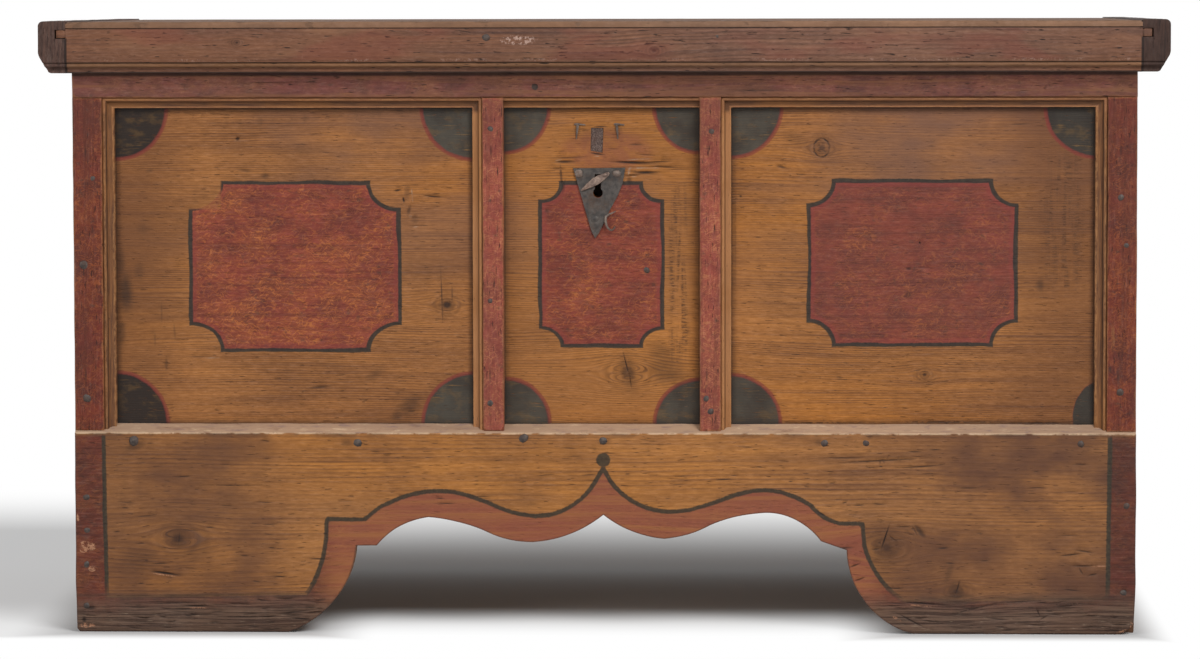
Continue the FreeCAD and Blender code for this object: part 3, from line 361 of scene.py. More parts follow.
def resampled(loop, gap):
    """The same closed outline with a point at least every gap, and its corners kept."""
    points = []
    for (ax, ay), (bx, by) in zip(loop, loop[1:] + loop[:1]):
        steps = max(1, math.ceil(math.hypot(bx - ax, by - ay) / gap))
        points += [(ax + (bx - ax) * i / steps, ay + (by - ay) * i / steps) for i in range(steps)]
    return [p for i, p in enumerate(points) if math.dist(p, points[i - 1]) > 2e-5]


def to_edges(points, start, end):
    """The distance from every point to every edge."""
    run = end - start
    t = np.clip(((points[:, None] - start) * run).sum(2) / (run ** 2).sum(1), 0, 1)
    return np.linalg.norm(start + t[..., None] * run - points[:, None], axis=2)


def from_edges(points, loops):
    """How far each point is from the nearest edge of the loops, and whether it lies inside them.

    Points are taken a patch at a time, with only the edges that can matter to that patch."""
    points = np.asarray(points, float).reshape(-1, 2)
    start = np.concatenate([np.array(loop) for loop in loops])
    end = np.concatenate([np.roll(np.array(loop), -1, axis=0) for loop in loops])
    low, high = np.minimum(start, end)[:, 1], np.maximum(start, end)[:, 1]
    near, inside = np.empty(len(points)), np.zeros(len(points), bool)
    patch = np.floor(points / PATCH)
    order = np.lexsort((patch[:, 0], patch[:, 1]))
    cuts = np.flatnonzero((np.diff(patch[order], axis=0) != 0).any(1)) + 1
    for some in np.split(order, cuts) if len(points) else ():
        p = points[some]
        rough = to_edges((p.min(0) + p.max(0))[None] / 2, start, end)[0]
        close = rough <= rough.min() + np.linalg.norm(np.ptp(p, axis=0)) + 1e-9
        near[some] = to_edges(p, start[close], end[close]).min(1)
        level = (low <= p[:, 1].max()) & (high >= p[:, 1].min())
        a, b, v = start[level], end[level], p[:, None, 1]
        with np.errstate(divide="ignore", invalid="ignore"):
            at = a[:, 0] + (v - a[:, 1]) * (b[:, 0] - a[:, 0]) / (b[:, 1] - a[:, 1])
        crosses = (a[:, 1] > v) != (b[:, 1] > v)
        inside[some] = (crosses & (p[:, None, 0] < at)).sum(1) % 2 == 1
    return near, inside


print("middle of a square to its edge:", from_edges([(0.5, 0.5)], [rectangle(0, 1, 0, 1)])[0][0])


# %% Marks: knocks, cracks and stains
class Mark:
    """A blurred ellipse on a board, in millimetres and degrees: how dark, pale if below 0, and how deep."""

    def __init__(self, u, v, ru, rv, turn=0.0, dark=1.0, deep=0.0):
        self.u, self.v, self.ru, self.rv = u * MM, v * MM, ru * MM, rv * MM
        self.cos, self.sin = math.cos(math.radians(turn)), math.sin(math.radians(turn))
        self.dark, self.deep = dark, deep * MM

    def at(self, flat):
        """The mark's strength at an array of points."""
        du, dv = flat[:, 0] - self.u, flat[:, 1] - self.v
        a, b = (du * self.cos + dv * self.sin) / self.ru, (dv * self.cos - du * self.sin) / self.rv
        return np.exp(-(a * a + b * b) ** 1.5)

    def points(self):
        """Points to draw it on, closer together than it is wide."""
        steps_u, steps_v = (min(14, max(5, round(r / (0.7 * MM)))) for r in (self.ru, self.rv))
        made = []
        for i in range(-steps_u, steps_u + 1):
            for j in range(-steps_v, steps_v + 1):
                a, b = 1.4 * i / steps_u, 1.4 * j / steps_v
                if a * a + b * b < 2.1:
                    x, y = a * self.ru, b * self.rv
                    made.append((self.u + x * self.cos - y * self.sin, self.v + x * self.sin + y * self.cos))
        return made


def marks_of(*rows):
    return [Mark(*row) for row in rows]


def knocks(seed, count, *spans):
    """Random marks; each span holds the least and the most of one of a mark's numbers."""
    dice = random.Random(seed)
    return [Mark(*(dice.uniform(*span) for span in spans)) for _ in range(count)]


def grid(u0, u1, v0, v1, gap_u, gap_v):
    """A field of extra points, in millimetres, where a surface needs more of them."""
    return scaled((u, v) for u in np.arange(u0, u1, gap_u) for v in np.arange(v0, v1, gap_v))


print("a crack of 20 mm is drawn on", len(Mark(0, 0, 10, 0.8).points()), "points")


# %% Filling an outline with triangles
def thinned(points, clear):
    """Drops points that are nearer than clear to one that is kept."""
    kept, cells = [], {}
    for u, v in points:
        i, j = math.floor(u / clear), math.floor(v / clear)
        near = (p for a in (-1, 0, 1) for b in (-1, 0, 1) for p in cells.get((i + a, j + b), ()))
        if all(math.dist(p, (u, v)) > clear for p in near):
            cells.setdefault((i, j), []).append((u, v))
            kept.append((u, v))
    return kept


def filled(loops, rub, gap, extra):
    """Points and triangles inside the loops: rows along the edges, extra points, then a jittered grid."""
    dice = random.Random(len(loops[0]))
    border = [p for loop in loops for p in loop]
    edges, base = [], 0
    for loop in loops:
        edges += [(base + i, base + (i + 1) % len(loop)) for i in range(len(loop))]
        base += len(loop)
    wanted = []
    for loop in loops:
        rim = np.array(loop)
        along = np.roll(rim, -1, axis=0) - np.roll(rim, 1, axis=0)
        normal = np.stack([-along[:, 1], along[:, 0]], 1) / np.linalg.norm(along, axis=1)[:, None]
        for reach in (0.3, 0.8, 1.5, 3.0):
            wanted += [(rim + side * normal * rub * reach, rub * reach * 0.8) for side in (-1, 1)]
    if len(extra):
        wanted.append((np.array(extra).reshape(-1, 2), rub * 0.3))
    low, high = np.array(loops[0]).min(0), np.array(loops[0]).max(0)
    field = [
        (u + dice.uniform(-0.3, 0.3) * gap, v + dice.uniform(-0.3, 0.3) * gap)
        for u in np.arange(low[0] + gap / 2, high[0], gap) for v in np.arange(low[1] + gap / 2, high[1], gap)
    ]
    wanted.append((np.array(field).reshape(-1, 2), gap * 0.4))
    inner = []
    for candidates, clear in wanted:
        near, inside = from_edges(candidates, loops)
        inner += [tuple(p) for p in candidates[inside & (near > clear)]]
    points = border + thinned(inner, 0.25 * MM)
    found = delaunay_2d_cdt([Vector(p) for p in points], edges, [], 0, 1e-7, False)
    flat, triangles = np.array([tuple(v) for v in found[0]]), np.array(found[2])
    a, b, c = (flat[triangles[:, i]] for i in range(3))
    area = (b[:, 0] - a[:, 0]) * (c[:, 1] - a[:, 1]) - (b[:, 1] - a[:, 1]) * (c[:, 0] - a[:, 0])
    triangles[area < 0] = triangles[area < 0][:, ::-1]
    return flat, triangles[from_edges((a + b + c) / 3, loops)[1] & (abs(area) > 1e-12)]


print("a square is", len(filled([rectangle(0, 0.1, 0, 0.1)], MM, 10 * MM, ())[1]), "triangles")


# %% The plank itself
def swell(place, size, seed):
    """Slow noise from -1 to 1 at a point, with bumps of about that size."""
    return noise.noise(Vector(place) / size + Vector((seed, 0.37 * seed, 1.7)))


def plank(name, outline, put, depth, rub=1.4, gap=9.0, uneven=0.25, stray=0.3, rows=1, holes=(), extra=(),
          relief=None, under=None, back_rub=0.6, seed=1.0, marks=(), trim=None):
    """A closed board. put(u, v, w) places a point of the outline at a depth w behind the face."""
    rub, gap, uneven, stray, back_rub = rub * MM, gap * MM, uneven * MM, stray * MM, back_rub * MM
    loops = []
    for loop in [outline, *holes]:
        dense = resampled(loop, min(gap * 0.6, 0.005))
        loops.append([
            (u + stray * swell((u, v, 0), 0.035, seed), v + stray * swell((u, v, 3), 0.035, seed + 5))
            for u, v in dense
        ])
    extra = list(extra) + [p for mark in marks for p in mark.points()]
    flat, triangles = filled(loops, rub, gap, extra)
    near = from_edges(flat, loops)[0]
    strengths = [mark.at(flat) for mark in marks]
    pits = sum((m.deep * s for m, s in zip(marks, strengths)), np.zeros(len(flat)))
    count = len(flat)
    front, back = np.empty(count), np.empty(count)
    for i, ((u, v), d) in enumerate(zip(flat, near)):
        wear = 0.75 + 0.55 * swell((u, v, 1), 0.05, seed) + 0.3 * swell((u, v, 2), 0.012, seed)
        worn = rub * max(0.15, wear)
        drop = worn - math.sqrt(max(0.0, worn ** 2 - (worn - min(d, worn)) ** 2))
        wave = 1 + swell((u, v, 0), 0.11, seed) + 0.5 * swell((u, v, 4), 0.03, seed)
        front[i] = drop + 0.6 * uneven * wave * min(1.0, d / 0.004) + (relief(u, v) if relief else 0.0)
        drop = back_rub - math.sqrt(max(0.0, back_rub ** 2 - (back_rub - min(d, back_rub)) ** 2))
        back[i] = (under(u, v) if under else depth) - drop
    front = np.minimum(np.maximum(front, 0) + pits * np.minimum(1.0, near / 0.002), back - 0.0005)
    points = [put(u, v, w) for side in (front, back) for (u, v), w in zip(flat, side)]
    faces = triangles.tolist() + (triangles[:, ::-1] + count).tolist()
    directed = {(t[i], t[(i + 1) % 3]) for t in triangles.tolist() for i in range(3)}
    rim = [(a, b) for a, b in directed if (b, a) not in directed]
    column = {}
    for a in sorted({i for pair in rim for i in pair}):
        (u, v), w0, w1 = flat[a], front[a], back[a]
        column[a] = [a]
        for row in range(1, rows):
            push = stray * 0.8 * swell((u, v, 7 + row), 0.03, seed)
            column[a].append(len(points))
            points.append(put(u + push, v + push, w0 + (w1 - w0) * row / rows))
        column[a].append(count + a)
    for a, b in sorted(rim):
        faces += [(column[b][i], column[a][i], column[a][i + 1], column[b][i + 1]) for i in range(rows)]
    mesh = bpy.data.meshes.new(name)
    mesh.from_pydata(points, [], faces)
    keep(mesh, "edge", near)
    if marks:
        shades = np.array([m.dark * s for m, s in zip(marks, strengths)])
        keep(mesh, "stain", np.maximum(shades.max(0), 0) + np.minimum(shades.min(0), 0) * 2)
    if trim:
        far, inside = from_edges(flat, [trim])
        keep(mesh, "trim", np.where(inside, far, -far), 1.0)
    return as_object(name, mesh)


def keep(mesh, name, values, rest=0.0):
    """Stores a number on each point of a board's face; its back and sides get the rest value."""
    stored = np.full(len(mesh.vertices), rest, np.float32)
    stored[:len(values)] = values
    mesh.attributes.new(name, "FLOAT", "POINT").data.foreach_set("value", stored)


@contextmanager
def editing(mesh, source=None):
    """A bmesh of the source, or of the mesh itself, that is written into the mesh at the end."""
    shape = bmesh.new()
    shape.from_mesh(source or mesh)
    yield shape
    shape.to_mesh(mesh)
    shape.free()


def as_object(name, mesh):
    """Links a finished mesh, with its faces outward and only its real edges sharp."""
    with editing(mesh) as shape:
        bmesh.ops.recalc_face_normals(shape, faces=shape.faces)
    mesh.shade_smooth()
    mesh.set_sharp_from_angle(angle=math.radians(42))
    return add(name, mesh)


def dress(piece, body, material, slot, *nodes):
    """Paints a piece, puts it on its body, and hides the imported nodes that it stands for."""
    piece.data.materials.clear()
    piece.data.materials.append(material)
    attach(piece, body)
    if nodes:
        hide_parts(*nodes)
    triangles = sum(len(p.vertices) - 2 for p in piece.data.polygons)
    print(f"{piece.name:26s} {triangles:7d} triangles")
    return piece


def on_front(y):
    """Outlines drawn on the front, as x and z, at a plane."""
    return lambda u, v, w: (u, y + w, v)


def on_back(y):
    return lambda u, v, w: (u, y - w, v)


def on_side(sign):
    """Outlines drawn on the left or right end, as y and z."""
    return lambda u, v, w: (sign * (HALF - w), u, v)


def on_top(z):
    return lambda u, v, w: (u, v, z - w)

# %% [markdown]
# ## The painted front
# Two wide pine boards, planed by hand, stained golden brown. On them, in each panel, a red field with scooped
# corners inside a dark green line, and a dark quarter round with a red edge in each corner of the panel. The
# three panels differ only in numbers, so the shader picks the numbers by where it is and draws one panel.

# %% One panel's drawing, with three sets of numbers
FIELDS = {
    "centre_x": (-358.6, -2.5, 357.7), "half_x": (121.6, 70.9, 119.7), "centre_z": (425.4, 428.0, 429.7),
    "half_z": (97.5, 94.6, 95.0), "notch_x": (36.0, 25.0, 29.0), "notch_z": (31.0, 21.0, 28.0),
    "corner": (59.0, 52.0, 57.0), "thin": (0.06, -0.05, -0.07),
}
PANEL_Z = (242.3, 609.9)


def by_panel(numbers, left, right):
    """One of three numbers, by two masks that say which panel this is."""
    a, b, c = numbers
    return left * (a - b) + right * (c - b) + b


def square(wire):
    return wire * wire


def scooped(u, v, notch_u, notch_v):
    """Signed distance from a rectangle with scooped corners; u and v are distances past its sides."""
    du, dv = u / notch_u, v / notch_v
    scoop = (1 - (du * du + dv * dv).math("SQRT")) * (notch_u + notch_v) * 0.5
    return u.max(v).max(scoop)


print("each panel has its own", ", ".join(FIELDS))


# %% Worn red paint
def dabs(t, x, z, lean, seed):
    """Short strokes of a brush that lean one way, bent by a slower noise; x and z in millimetres."""
    bend = (t.field(x * 0.06, seed, z * 0.06, 2.0) - 0.5) * 26.0
    where = t.xyz((x + z * lean + bend) * 0.11, seed, (z - x * lean + bend) * 0.80)
    return t.cloud(where, 1.0, 2.0, 0.5).step(0.56, 0.68)


DEEP_RED, RED, WORN_RED = rgb(97, 41, 35), rgb(127, 54, 43), rgb(166, 94, 50)


def red_paint(t, m, x, z, thin, deep_red=DEEP_RED, red=RED, worn=WORN_RED, dabbed=1.0):
    """Iron red over pine: dabbed on in small strokes, thin in patches, darkened by handling."""
    strokes = dabs(t, x, z, 0.3, 1.3).max(dabs(t, x, z, 0.75, 7.9)).max(dabs(t, x, z, -0.45, 4.4)) * dabbed
    where = t.field(x * 0.022, 2.2, z * 0.030, 4.0, 0.62)
    colour = t.mix(t.field(x * 0.035, 5.5, z * 0.05, 4.0, 0.6).step(0.32, 0.70), red, deep_red)
    bare = strokes * (where + thin - 0.26).clamp() * 1.9 + (where + thin - 0.56).clamp() * 1.1
    bare = (bare + (m.fibre - 0.5) * 0.5).clamp()
    colour.coat(bare, worn)
    colour.coat(m.streak.step(0.48, 0.68) * 0.34 + m.pores * 0.5, tuple(0.45 * c for c in deep_red))
    grime = t.field(x * 0.09, 9.1, z * 0.12, 4.0, 0.6).step(0.57, 0.75)
    return uneven(t, m, t.mix(grime * 0.6, colour, rgb(62, 46, 38)), 0.8), bare


print("red as light:", [round(c, 3) for c in RED])

# %% Where a point of the front lies
PANEL_KNOTS = [(0.028, 0.302, 0.016), (0.253, 0.563, 0.009), (-0.182, 0.381, 0.009), (0.372, 0.300, 0.006)]


def panel_places(t, m):
    """Places in millimetres: x0 and z0 are true, x and z sway as a painter's hand does."""
    x0, z0 = m.along * 1000.0, m.across * 1000.0
    left, right = x0.step(-132.0, -133.0), x0.step(129.0, 130.0)
    picked = {name: by_panel(three, left, right) for name, three in FIELDS.items()}
    at = SimpleNamespace(x0=x0, z0=z0, **picked)
    at.sway, at.fray = t.cloud(m.place, 16.0, 2.0) - 0.5, t.cloud(m.place, 190.0, 3.0, 0.7) - 0.5
    at.x = x0 + at.sway * 5.0 + at.fray * 1.6
    at.z = z0 + (t.cloud(m.place, 19.0, 2.0) - 0.5) * 4.0 + at.fray * 1.6
    middle = by_panel([500.0 * (a + b) for a, b in PANELS], left, right)
    half = by_panel([500.0 * (b - a) for a, b in PANELS], left, right)
    middle_z, half_z = sum(PANEL_Z) / 2, (PANEL_Z[1] - PANEL_Z[0]) / 2
    at.to_side, at.to_end = half - (x0 - middle).abs(), half_z - (z0 - middle_z).abs()
    at.past_side, at.past_end = (at.x - middle).abs() - half, (at.z - middle_z).abs() - half_z
    return at


print(len(PANEL_KNOTS), "knots in the panels")

# %% The golden ground
GROUND = rgb(168, 110, 58), rgb(92, 56, 34), rgb(178, 113, 46)


def panel_ground(t, m, at):
    """Bare pine, and the same stained: combed by wear, cooler above, darker towards the chest's ends."""
    wood = wood_colour(t, m, *GROUND)
    colour = Wire(t, wood.socket)
    centre = at.x0.abs().step(132.0, 108.0)
    colour.coat(centre * 0.22, 188, 122, 56)
    comb = (m.late - 0.3) * t.field(m.along * 7.0, 2.0, m.across * 30.0, 3.0).step(0.38, 0.60)
    colour.coat((comb * (centre * 0.25 + 0.42)).clamp(), 84, 52, 32)
    cool = t.field(m.along * 3.0, 4.0, m.across * 6.0, 4.0, 0.6).step(0.40, 0.62)
    cool = cool * at.z0.step(330.0, 540.0) * 0.6 + at.x0.step(160.0, 330.0) * at.z0.step(500.0, 570.0) * 0.35
    colour.coat(cool.clamp(), 108, 76, 62)
    ends = (at.x0.step(-450.0, -540.0) * 0.62).max(at.x0.step(430.0, 520.0) * 0.54)
    colour.coat(ends * (0.7 + cool * 0.5), 92, 54, 30)
    return wood, colour


print("ground as light:", [round(c, 3) for c in GROUND[0]])

# %% The quarter rounds
CORNER_DARK, CORNER_GREEN = rgb(44, 42, 38), rgb(66, 64, 57)


def paint_corners(t, m, at, colour):
    """Paints the dark quarter rounds and their red rims, and returns where they are."""
    x0, z0 = at.x0, at.z0
    lost = x0.step(500.0, 520.0) * z0.step(320.0, 300.0)
    across = at.past_side + lost * at.past_side * 1.1
    disc = (square(across) + square(at.past_end)).math("SQRT") - at.corner + lost * (6.0 + at.sway * 40.0)
    corner = disc.step(1.2, -1.2)
    scratched = t.field(x0 * 0.035, 8.8, z0 * 0.5, 4.0, 0.6).step(0.60, 0.72)
    green = t.mix(t.cloud(m.place, 30.0, 4.0).step(0.3, 0.7), CORNER_DARK, CORNER_GREEN)
    green.coat(x0.step(-180.0, -420.0).max(x0.step(100.0, 560.0) * 0.5), 26, 22, 20)
    green.coat(t.field(x0 * 0.05, 2.7, z0 * 0.08, 4.0, 0.6).step(0.5, 0.7) * 0.3, 112, 84, 46)
    thin = t.field(x0 * 0.022, 5.1, z0 * 0.03, 3.0).step(0.52, 0.66)
    thin = thin.max((disc + 8.0).abs().step(9.0, 2.0) * 0.7)
    ochre = (scratched * thin * 0.8 + (m.fibre - 0.5) * 0.3).clamp() * (1 - x0.step(-300.0, -480.0) * 0.6)
    green.coat(ochre, 142, 104, 52)
    colour.coat(corner * (0.96 - m.pores * 0.5), green)
    rim = (disc - 0.6).abs().step(3.2, 1.2) * (0.92 - scratched * 0.5) * (1 - lost * 0.8)
    colour.coat(rim * 0.8, 118, 48, 42)
    return corner


print("green-black as light:", [round(c, 3) for c in CORNER_GREEN])

# %% The red fields
LINE_DARK, LINE_WORN = rgb(32, 31, 28), rgb(52, 48, 41)


def paint_fields(t, m, at, colour, grime):
    """Paints the red fields inside their dark lines, and returns where they are."""
    x0, z0 = at.x0, at.z0
    fade = x0.step(-443.0, -446.5) * z0.step(490.5, 494.5)
    shape = scooped((at.x - at.centre_x).abs() - at.half_x, (at.z - at.centre_z).abs() - at.half_z,
                    at.notch_x, at.notch_z)
    worn_corner = x0.step(-385.0, -460.0) * z0.step(455.0, 515.0)
    red, bare = red_paint(t, m, x0, z0, at.thin + z0.step(560.0, 330.0) * 0.10 + worn_corner * 0.22)
    red.coat(x0.step(180.0, 260.0) * (0.14 + grime * 0.2), 88, 56, 50)
    red.coat((shape + 4.0).abs().step(5.0, 1.0) * 0.45, 128, 52, 50)
    field = shape.step(0.6, -0.6) * (1 - fade * (0.35 + bare * 0.5))
    colour.coat(field * 0.95, red)
    line = (shape.abs() - (2.3 + at.sway * 2.6)).step(0.7, -0.7) * (1 - fade)
    line = line * (1 - t.field(x0 * 0.06, 3.1, z0 * 0.06, 4.0).step(0.70, 0.78) * 0.7)
    colour.coat(line * 0.93, t.mix(at.fray.step(-0.2, 0.3), LINE_DARK, LINE_WORN))
    return field


print("dark line as light:", [round(c, 3) for c in LINE_DARK])


# %% Rubbed places, dirt and painted shade by the mouldings, knocks, and the whole finish
def rubbed_places(t, at):
    """Two upright bands that something has rubbed; returns them and the dashes inside them."""
    x0, z0 = at.x0, at.z0
    slim = (x0 - 87.0 - at.sway * 14.0).abs().step(13.0, 6.0) * z0.step(308.0, 330.0) * z0.step(530.0, 500.0)
    wide = (x0 - 530.0 - at.sway * 16.0).abs().step(32.0, 12.0) * z0.step(380.0, 420.0)
    wide = wide * z0.step(580.0, 530.0) * 0.7
    rubs = slim.max(wide) * t.field(x0 * 0.16, 1.0, z0 * 0.012, 2.0).step(0.36, 0.60)
    return rubs, t.field(x0 * 0.085, 6.0, z0 * 0.50, 4.0, 0.66).step(0.46, 0.60)


def panel_finish():
    material, t = new_finish("painted_panel_pine")
    m = pine(t, "XZY", PANEL_KNOTS, 3.0, 400.0)
    at, grime = panel_places(t, m), t.cloud(m.place, 60.0, 4.0, 0.65)
    wood, colour = panel_ground(t, m, at)
    corner = paint_corners(t, m, at, colour)
    field = paint_fields(t, m, at, colour, grime)
    # Darker along the panel's edges: dirt, and painted shade where the mouldings stand proud; a darker painted
    # contact line right against them.
    dirt_and_contact_shade = at.to_side.step(8.0, 0.0).max(at.to_end.step(9.0, 0.0)) * (0.2 + grime * 0.8)
    dirt_and_contact_shade = dirt_and_contact_shade.max(at.to_side.step(2.6, 1.2).max(at.to_end.step(2.6, 1.2)) * 0.8)
    colour.coat(dirt_and_contact_shade.clamp() * 0.75, SOOT_AND_SHADE)
    rubs, dashes = rubbed_places(t, at)
    colour.coat(rubs * (dashes * 0.7 + 0.1), 62, 40, 28)
    torn = (square((at.x0 - 4.0) * 0.016) + square((at.z0 - 560.0) * 0.034)).step(1.0, 0.3)
    colour.coat(torn * (grime.step(0.35, 0.60) * 0.4 + 0.3), 132, 76, 54)
    stain = t.attribute("stain")
    colour.coat((stain * (0.6 + grime * 0.7)).clamp(), SOOT_AND_SHADE)
    colour.coat(stain.step(-0.25, -0.7) * (0.15 + at.fray.step(-0.15, 0.15) * 0.5), 156, 130, 108)
    face = (m.into * 1000.0).step(1000 * PANEL_Y + 5.0, 1000 * PANEL_Y + 2.5)
    colour = t.mix(face, t.mix(0.35, wood, rgb(126, 92, 62)), colour)
    paint = (corner * 0.7 + field * 0.6) * face
    height = wood_height(m) * (1 - paint * 0.4) + paint * 0.5 - rubs * dashes * 0.6
    finished(t, colour, 0.5 + m.fibre * 0.16 - paint * 0.05, height, 0.45, coat=0.04)
    return material


panel_pine = panel_finish()
print("panel material:", len(panel_pine.node_tree.nodes), "nodes")

# %% [markdown]
# ## The front boards
# Both boards keep their dovetailed ends, which show at the chest's corners. Knocks round the lock have torn
# the wood, so those marks are cut into the mesh as well as darkened: a light from the side has to find them.

# %% The front boards' shapes
TAILS, TAIL_HALF, FLARE = 5, 30 * MM, (30 + 26 / 6) * MM
TAIL_PITCH = (RIM_Z - WALL_FOOT_Z) / TAILS
KEYHOLE_X, KEYHOLE_Z, KEYHOLE_R = -6.4 * MM, 511.3 * MM, 5.6 * MM


def tailed(low, high):
    """A front or back board between two heights, with its dovetails at both ends."""
    right = [(INSIDE_X, low)]
    for i in range(TAILS):
        middle = WALL_FOOT_Z + (i + 0.5) * TAIL_PITCH
        if low - TAIL_PITCH / 2 < middle < high + TAIL_PITCH / 2:
            tail = [(INSIDE_X, middle - TAIL_HALF), (HALF, middle - FLARE), (HALF, middle + FLARE),
                    (INSIDE_X, middle + TAIL_HALF)]
            right += [(u, min(high, max(low, v))) for u, v in tail]
    right.append((INSIDE_X, high))
    loop = right + [(-u, v) for u, v in reversed(right)]
    return [p for i, p in enumerate(loop) if math.dist(p, loop[i - 1]) > 1e-6]


def keyhole():
    """The round eye and its slot, as one loop."""
    half = 3.5 * MM
    lift = math.asin(half / KEYHOLE_R)
    turn = [math.pi / 2 - lift - i * (math.tau - 2 * lift) / 22 for i in range(23)]
    eye = [(KEYHOLE_X + KEYHOLE_R * math.cos(a), KEYHOLE_Z + KEYHOLE_R * math.sin(a)) for a in turn]
    return eye + [(KEYHOLE_X - half, 533 * MM), (KEYHOLE_X + half, 533 * MM)]


print("keyhole:", len(keyhole()), "points")

# %% The front boards' marks
SLOT = scaled([(-14.0, 586.6), (0.4, 586.2), (-0.8, 557.4), (-14.6, 559.8)])
RING = [Mark(252.5 + 8.8 * math.cos(a), 563 + 10.4 * math.sin(a), 1.1, 2.6 + (i % 3), math.degrees(a),
             0.5 + 0.2 * (i % 3), 0.5) for i, a in ((i, i * math.tau / 13) for i in range(13))]
COMB = [Mark(152, 503 + 3.1 * i, 13 + 2 * (i % 3), 0.55, 1, 0.35 + 0.12 * (i % 3), 0.3) for i in range(7)]
PANEL_MARKS = RING + COMB + marks_of(
    # The knots' hearts, and the crack through the large one.
    (28, 302, 9, 22, 14, 0.42, 0.3), (26, 312, 0.7, 15, 14, 1.0, 0.9), (31, 292, 0.6, 9, 8, 0.9, 0.7),
    (249, 566, 2.4, 1.2, 40, 0.5, 0.3), (256, 559, 3.0, 1.2, -30, 0.5, 0.3),
    (254, 568, 2.2, 1.0, 0, 0.45, 0.2), (-182, 381, 7, 5, 0, 0.6, 0.3), (-188, 390, 0.8, 30, 2, 0.75, 0.5),
    # Stains and smudges.
    (-557, 396, 8, 22, 4, 0.8), (-562, 430, 5, 18, 0, 0.5), (-562, 352, 5, 18, 0, 0.5),
    (-515, 372, 1.2, 11, 0, 0.35), (-500, 350, 1.2, 9, 4, 0.35), (-523, 340, 1.4, 8, 0, 0.3),
    (-510, 312, 2.0, 7, 0, 0.45, 0.3), (-536, 470, 8, 6, 0, 0.25), (-541, 420, 6, 10, 0, 0.3),
    (-226, 263, 15, 10, 38, 0.55, 0.2), (-240, 252, 8, 6, 30, 0.5), (74, 306, 22, 17, -20, 0.55),
    (66, 326, 16, 12, -30, 0.45), (92, 284, 12, 12, 0, 0.4), (505, 404, 5, 7, 0, 0.55, 0.3),
    (353, 393, 4, 4, 0, 0.5, 0.3), (-350, 560, 20, 5, 0, 0.18), (-266, 300, 13, 5, 32, 0.35),
    (-330, 285, 12, 1.6, 4, 0.7, 0.5), (-425, 574, 2.4, 1.8, 20, 1.0, 2.0), (-417, 537, 8, 2.0, -8, 0.5, 0.7),
    (-393, 531, 5, 3.4, 0, 0.55, 0.5), (-528, 537, 4, 2, 0, 0.4, 0.3), (353, 423, 3.2, 1.6, 0, 0.7, 0.6),
    (372, 424, 7, 1.2, 0, 0.1, 0.7), (376, 417, 3, 1, 0, 0.6, 0.4), (366, 453, 1.2, 1.2, 0, 1.0, 1.2),
    (273, 297, 4, 1.2, -8, 0.6, 0.4), (430, 612, 9, 1.0, 0, 0.5, 0.3), (480, 590, 12, 0.9, 2, 0.5, 0.3),
    (-480, 604, 60, 0.7, -2, 0.35, 0.2), (-340, 598, 110, 0.7, 3, 0.35, 0.2),
    (400, 245, 60, 1.0, 0, 0.9, 0.4), (500, 244, 40, 1.0, 0, 0.9, 0.4), (153, 460, 1.0, 62, 0, 0.22),
    (222, 574, 16, 6, -14, 0.3), (206, 541, 6, 1.4, -12, 0.75, 0.6), (229, 532, 4, 0.8, 0, 0.6, 0.4),
    (159, 507, 1.6, 1.2, 0, 0.9, 0.5), (260, 244, 60, 1.0, 0, 0.7, 0.3), (-66, 490, 2.2, 2.2, 0, 0.6, 0.6),
    # Gouges right of the first field.
    (-239, 514, 4, 1.2, 8, 0.9, 1.0), (-228, 512, 3.5, 9, -8, 0.4, 0.8), (-232, 503, 1.2, 3, 8, 1.0, 1.2),
    (-226, 490, 2.0, 6, -12, 0.6, 1.0), (-219, 480, 4, 6, 0, 0.35, 0.6), (-216, 473, 9, 0.8, 2, 0.6, 0.5),
    (-219, 482, 8, 0.7, 0, 0.6, 0.5), (-222, 509, 1.0, 9, 6, -0.45, 0.4), (-224, 484, 2.2, 2, 0, -0.6, 0.3),
    (-217, 472, 4, 0.8, 12, -0.6, 0.3), (-198, 507, 11, 0.9, -6, 0.9, 0.8), (-456, 319, 9, 0.7, 1, -0.6, 0.3),
    (-472, 320, 12, 0.7, 0, 0.6, 0.4), (-176, 394, 1.0, 9, 0, 0.5, 0.3),
    # Torn wood both sides of the lock's iron.
    (37, 546, 26, 1.5, -2, 1.0, 1.8), (47, 540, 20, 1.1, 0, -0.55, 0.9), (50, 534.5, 14, 1.6, 1, 1.0, 1.6),
    (42, 550, 16, 0.8, 3, -0.5, 0.5), (30, 537, 1.6, 5, -10, -0.6, 0.5), (35, 530, 4, 0.8, 0, -0.6, 0.4),
    (64, 547, 14, 0.7, 2, 0.8, 0.8), (49, 555, 10, 0.8, -3, 0.5, 0.6), (-52, 549, 5, 0.8, 10, -0.5, 0.5),
    (-3, 587.6, 8, 0.9, 0, 0.9, 0.6), (-7, 556.2, 8, 1.2, -8, 0.9, 0.6), (-8, 553.6, 4, 0.7, 0, -0.5, 0.2),
    (70, 541, 18, 1.0, -2, 0.8, 0.9), (33, 531, 8, 1.2, 5, 0.8, 1.0), (86, 538, 10, 0.8, 0, 0.5, 0.5),
    (-45, 547, 12, 1.5, 0, 0.9, 1.3), (-52, 539, 8, 1.2, 0, 0.5, 0.7), (-49, 530, 1.4, 13, 4, 0.75, 0.9),
    (-46, 518, 1.8, 8, -12, 0.6, 0.6), (-38, 552, 18, 1.0, 2, 0.6, 0.6), (30, 524, 3, 7, 0, 0.55, 0.6),
    # The dent that the nails and the plugged slot sit in.
    (-8, 577, 34, 15, 0, 0.22, 0.2), (-30, 583, 6, 8, 0, 0.35), (16, 583, 6, 8, 0, 0.3),
    (38, 567, 8, 1.2, 0, 0.6, 0.5), (11, 562, 6, 1.3, 0, 0.4, 0.4), (-10, 481, 7, 4, 14, 0.15),
)
print(len(PANEL_MARKS), "marks on the front boards")

